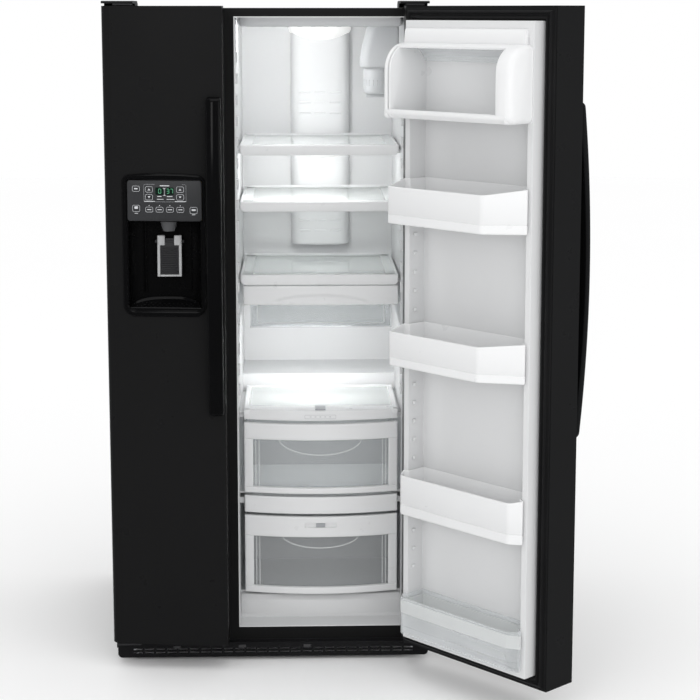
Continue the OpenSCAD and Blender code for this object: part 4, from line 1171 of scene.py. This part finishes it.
# The slot that the meat pan's slider runs in
slot_half = joints["temperature_slide"]["range_m"][1] / MM + 14
slot_z = tuple(z + d for z, d in zip(extent("temperature_slider")[2], (-0.4, 0.4)))


def slider_pocket(u, v):
    """Depth of the slot below the drawer's face."""
    inside = abs(u - drawer_mid) < slot_half + 0.2 and slot_z[0] - 0.2 < v < slot_z[1] + 0.2
    return 5.0 if inside else 0.0


def header_strip(x, z, thick, pocket):
    """The band above a lower drawer's window, with a slot for a slider where it has one."""
    if not pocket:
        return strip(x, z, 2.6, thick)
    lines = ([drawer_mid + s * (slot_half + d) for s in (-1, 1) for d in (0, 0.5)],
             [slot_z[0] - 0.5, slot_z[0], slot_z[1], slot_z[1] + 0.5])
    return strip(x, z, 2.6, thick, slider_pocket, lines=lines)


def lower_front(node, name, body, lip, header, scoop, pocket=False):
    """Header, side frames and bottom lip round a window, with the clear pan's dipped rim behind it."""
    (x0, x1), _, (z0, z1) = extent(node)
    window = (z0 + lip, z1 - header)
    thick = 11.5
    parts = [header_strip((x0, x1), (window[1], z1), thick, pocket),
             strip((x0, x1), (z0, window[0]), 2.4, thick)]
    for x in ((x0, x0 + 24), (x1 - 24, x1)):
        parts.append(strip(x, (window[0] - 2, window[1] + 2), 2.2, thick - 1, lambda u, v: 1.6, (10, 10)))
    made = piece(name, *merged(*parts), CASE, body, "white_plastic", angle=60)
    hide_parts(node)
    path = []
    for k in range(49):
        share = -1 + 2 * k / 48
        dip = scoop[1] * math.sqrt(max(0.0, 1 - share * share))
        x = drawer_mid + scoop[0] * share
        path.append((x, drawer_face(x) + 13.5, window[1] + 3 - dip))
    beads = [tube(path, 1.5)]
    for x in (x0 + 31, x0 + 40, x1 - 40, x1 - 31):
        line = [(x, drawer_face(x) + 13.5, window[0] + (window[1] - window[0]) * k / 4) for k in range(5)]
        beads.append(tube(line, 1.2))
    piece(name + "_pan_rim", *merged(*beads), CASE, body, "clear_plastic", RIM, angle=80)


def covers():
    """The crisper's glazed cover and the meat pan's cover, each with a crowned front band."""
    (x0, x1), (_, back), _ = extent("drawer_covers")
    meat_z, crisper_z = [z for _, _, z in solids("drawer_covers")]
    glass_front = solids("shelf_glass")[0][1][0]
    top, low = crisper_z[1], meat_z[1]
    frame = [block(x, (90, back), (top - 13.5, top), 1.4) for x in ((x0, x0 + 14.2), (x1 - 14.2, x1))]
    frame += [block(x, (100, back), (top - 13.5, top - 4.7), 1.2)
              for x in ((x0 + 12, x0 + 20), (x1 - 20, x1 - 12))]
    frame.append(block((x0, x1), (back - 9, back), (top - 13.5, top + 3.5), 1.4))
    across = [x0 + (x1 - x0) * k / 24 for k in range(25)]
    edge = [Vector((x, drawer_face(x) + 6)) for x in across]

    def plate(end, levels):
        return tray(edge + [Vector((x1, end)), Vector((x0, end))], levels)

    deck = plate(glass_front + 8, [(0, top - 13.5), (0, top - 0.3)])
    sheet = plate(back, [(0.5, low - 10), (0, low - 9), (0, low - 1), (0.5, low)])
    bands = [strip(drawer_x, z, 3.0, 10.0) for z in (crisper_z, meat_z)]
    made = piece("drawer_cover_set", *merged(bands[0], *frame, deck, bands[1], sheet), CASE, "cabinet",
                 "white_plastic", angle=50)
    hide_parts("drawer_covers")
    humidity_guide(top)


def humidity_guide(top):
    """Outline and marks of the humidity control on the crisper cover's front band."""
    low, high = top - 21.5, top - 10.5
    slot = [(drawer_mid - 42, low), (drawer_mid + 42, low), (drawer_mid + 42, high), (drawer_mid - 42, high)]
    parts = [raised(band(arc_corners(slot, 2.5, 4, 10), 1.0, -1.0, 0.9))]
    for k in (-2, -1, 0, 1, 2):
        x = drawer_mid + k * 13
        mark = rectangle((x - 2.5, x + 2.5), (low + 4.4, low + 6.6), 0.8, 3)
        parts.append(raised(tray(mark, [(0, -1), (0, 0.5)])))
    piece("humidity_guide", *merged(*parts), CASE, "cabinet", "grey_plastic", GUIDE, angle=50)


snack_header()
snack_rim()
lower_front("crisper_front", "crisper_face", "crisper_drawer", 16.5, 45, (112, 46))
lower_front("meat_pan_front", "meat_face", "meat_drawer", 18.5, 57, (104, 36), True)
covers()

# ---------- fasteners and base ----------


def screws(name, back, spots):
    """Pan head screws in the cabinet's back, each with a cross recess."""
    head = lathe((0, 0), [(4.5, -1), (4.5, 0.0), (4.05, 0.08), (1.8, 0.1)], 16)
    slots = [block((-a, a), (-b, b), (-0.3, 0.1), 0.1) for a, b in ((2.25, 0.7), (0.7, 2.25))]
    screw = merged(head, *slots)
    parts = [mapped(screw, lambda u, v, w: (x + u, back + w, z + v)) for x, z in spots]
    piece(name, *merged(*parts), CASE, "cabinet", "zinc_steel", angle=40)


def fasteners():
    """Screws of the rear panel and machine cover, and the base grille's clips."""
    (x0, x1), (_, back), (_, z1) = extent("rear_panel")
    spots = [(x, z) for x in (x0 + 9, x1 - 9) for z in range(360, 1720, 190)]
    screws("rear_panel_screws", back, spots + [(x, z1 - 9) for x in (-270, -90, 90, 270)])
    cover_z = extent("machine_cover")[2][1] - 13.5
    screws("machine_cover_screws", back, [(x, cover_z) for x in range(-400, 401, 200)])
    _, grille_y, grille_z = extent("base_grille")
    y, z = (grille_y[0] - 3, grille_y[0] + 2), (grille_z[0] + 25, grille_z[0] + 33)
    clips = [block((x - 10, x + 10), y, z, 1.6) for x in (-256, -83, 90)]
    piece("grille_clips", *merged(*clips), CASE, "cabinet", "black_plastic", CLIP, angle=50)


fasteners()

# ---------- stage, light and camera ----------


def stage():
    """A pale floor that runs to the horizon."""
    bpy.ops.mesh.primitive_circle_add(vertices=96, radius=14, fill_type="NGON", location=(0, 0, -0.0005))
    floor = bpy.context.object
    floor.name = "studio_floor"
    finish = Finish("studio_floor")
    finish.tones((0.985, 0.985, 0.987), (1.0, 1.0, 1.0), finish.noise(0.6, 3.0))
    finish.roughness(0.65, 0.8, finish.noise(3.0, 3.0))
    floor.data.materials.append(finish.set(Specular_IOR_Level=0.0))
    # Black gloss in a photographer's studio mirrors dark cards, not a white floor
    floor.visible_glossy = False


def softbox(name, place, target, size, power, mirrored=True):
    """A rectangular lamp. Where it isn't mirrored, gloss doesn't show it."""
    lamp = bpy.data.lights.new(name, "AREA")
    lamp.shape = "RECTANGLE"
    lamp.size, lamp.size_y = size
    lamp.energy = power
    made = bpy.data.objects.new(name, lamp)
    made.location = place
    made.rotation_euler = (Vector(target) - Vector(place)).to_track_quat("-Z", "Y").to_euler()
    made.visible_glossy = mirrored
    bpy.context.scene.collection.objects.link(made)


def sky():
    """White to the camera and to dull surfaces. What gloss mirrors is dim in front and light behind."""
    world = bpy.data.worlds.new("studio")
    bpy.context.scene.world = world
    world.use_nodes = True
    tree = world.node_tree
    backdrop = tree.nodes["Background"]
    backdrop.inputs["Color"].default_value = (1, 1, 1, 1)
    backdrop.inputs["Strength"].default_value = 1.0
    mirrored = tree.nodes.new("ShaderNodeBackground")
    mirrored.inputs["Color"].default_value = (0.94, 0.97, 1, 1)
    place = tree.nodes.new("ShaderNodeTexCoord")
    axes = tree.nodes.new("ShaderNodeSeparateXYZ")
    span = tree.nodes.new("ShaderNodeMapRange")
    for key, value in (("From Min", -0.3), ("From Max", 0.6), ("To Min", 0.05), ("To Max", 0.6)):
        span.inputs[key].default_value = value
    tree.links.new(place.outputs["Generated"], axes.inputs[0])
    tree.links.new(axes.outputs["Y"], span.inputs["Value"])
    tree.links.new(span.outputs[0], mirrored.inputs["Strength"])
    path = tree.nodes.new("ShaderNodeLightPath")
    mix = tree.nodes.new("ShaderNodeMixShader")
    tree.links.new(path.outputs["Is Glossy Ray"], mix.inputs[0])
    tree.links.new(backdrop.outputs[0], mix.inputs[1])
    tree.links.new(mirrored.outputs[0], mix.inputs[2])
    tree.links.new(mix.outputs[0], tree.nodes["World Output"].inputs["Surface"])


def camera():
    """The main view: level with the cabinet's top, a long lens, tipped down to take in the floor."""
    data = bpy.data.cameras.new("camera")
    data.lens = 91.4
    data.shift_y = -0.10
    data.clip_end = 60
    made = bpy.data.objects.new("camera", data)
    made.location = CASE @ Vector((67, -4575, 1714))
    made.rotation_euler = (math.radians(90 - 8.63), 0, math.radians(-1.73))
    bpy.context.scene.collection.objects.link(made)
    bpy.context.scene.camera = made


stage()
sky()
camera()
softbox("key_box", (-1.5, -4.6, 2.7), (-0.2, 0, 1.0), (1.2, 1.8), 10.3)
softbox("fill_box", (2.8, -4.0, 2.4), (0.1, 0, 0.9), (1.2, 2.0), 8)
softbox("low_box", (0.5, -3.8, 1.3), (0.13, 0, 0.6), (1.4, 1.4), 16.5, mirrored=False)
softbox("top_box", (0, -1.2, 3.6), (0, 0.2, 0.8), (2.4, 1.6), 8)
# The cabinet's own lamps, under the ceiling shroud, the top shelf and the snack pan
ceiling_z, pan_z = extent("ceiling_light_shield")[2][0], extent("snack_pan")[2][0]
for name, x, y, z, power in (("ceiling_lamp", -30, 128, ceiling_z - 17, 1.7),
                             ("shelf_lamp", 90, 150, shelf_tops[2] - 35, 1.0),
                             ("lower_lamp", 100, 158, pan_z - 26, 1.1)):
    target = CASE @ Vector((110, 590, z - 160))
    softbox(name, CASE @ Vector((x, y, z)), target, (0.22, 0.06), power, mirrored=False)
bpy.context.scene.view_settings.view_transform = "Standard"
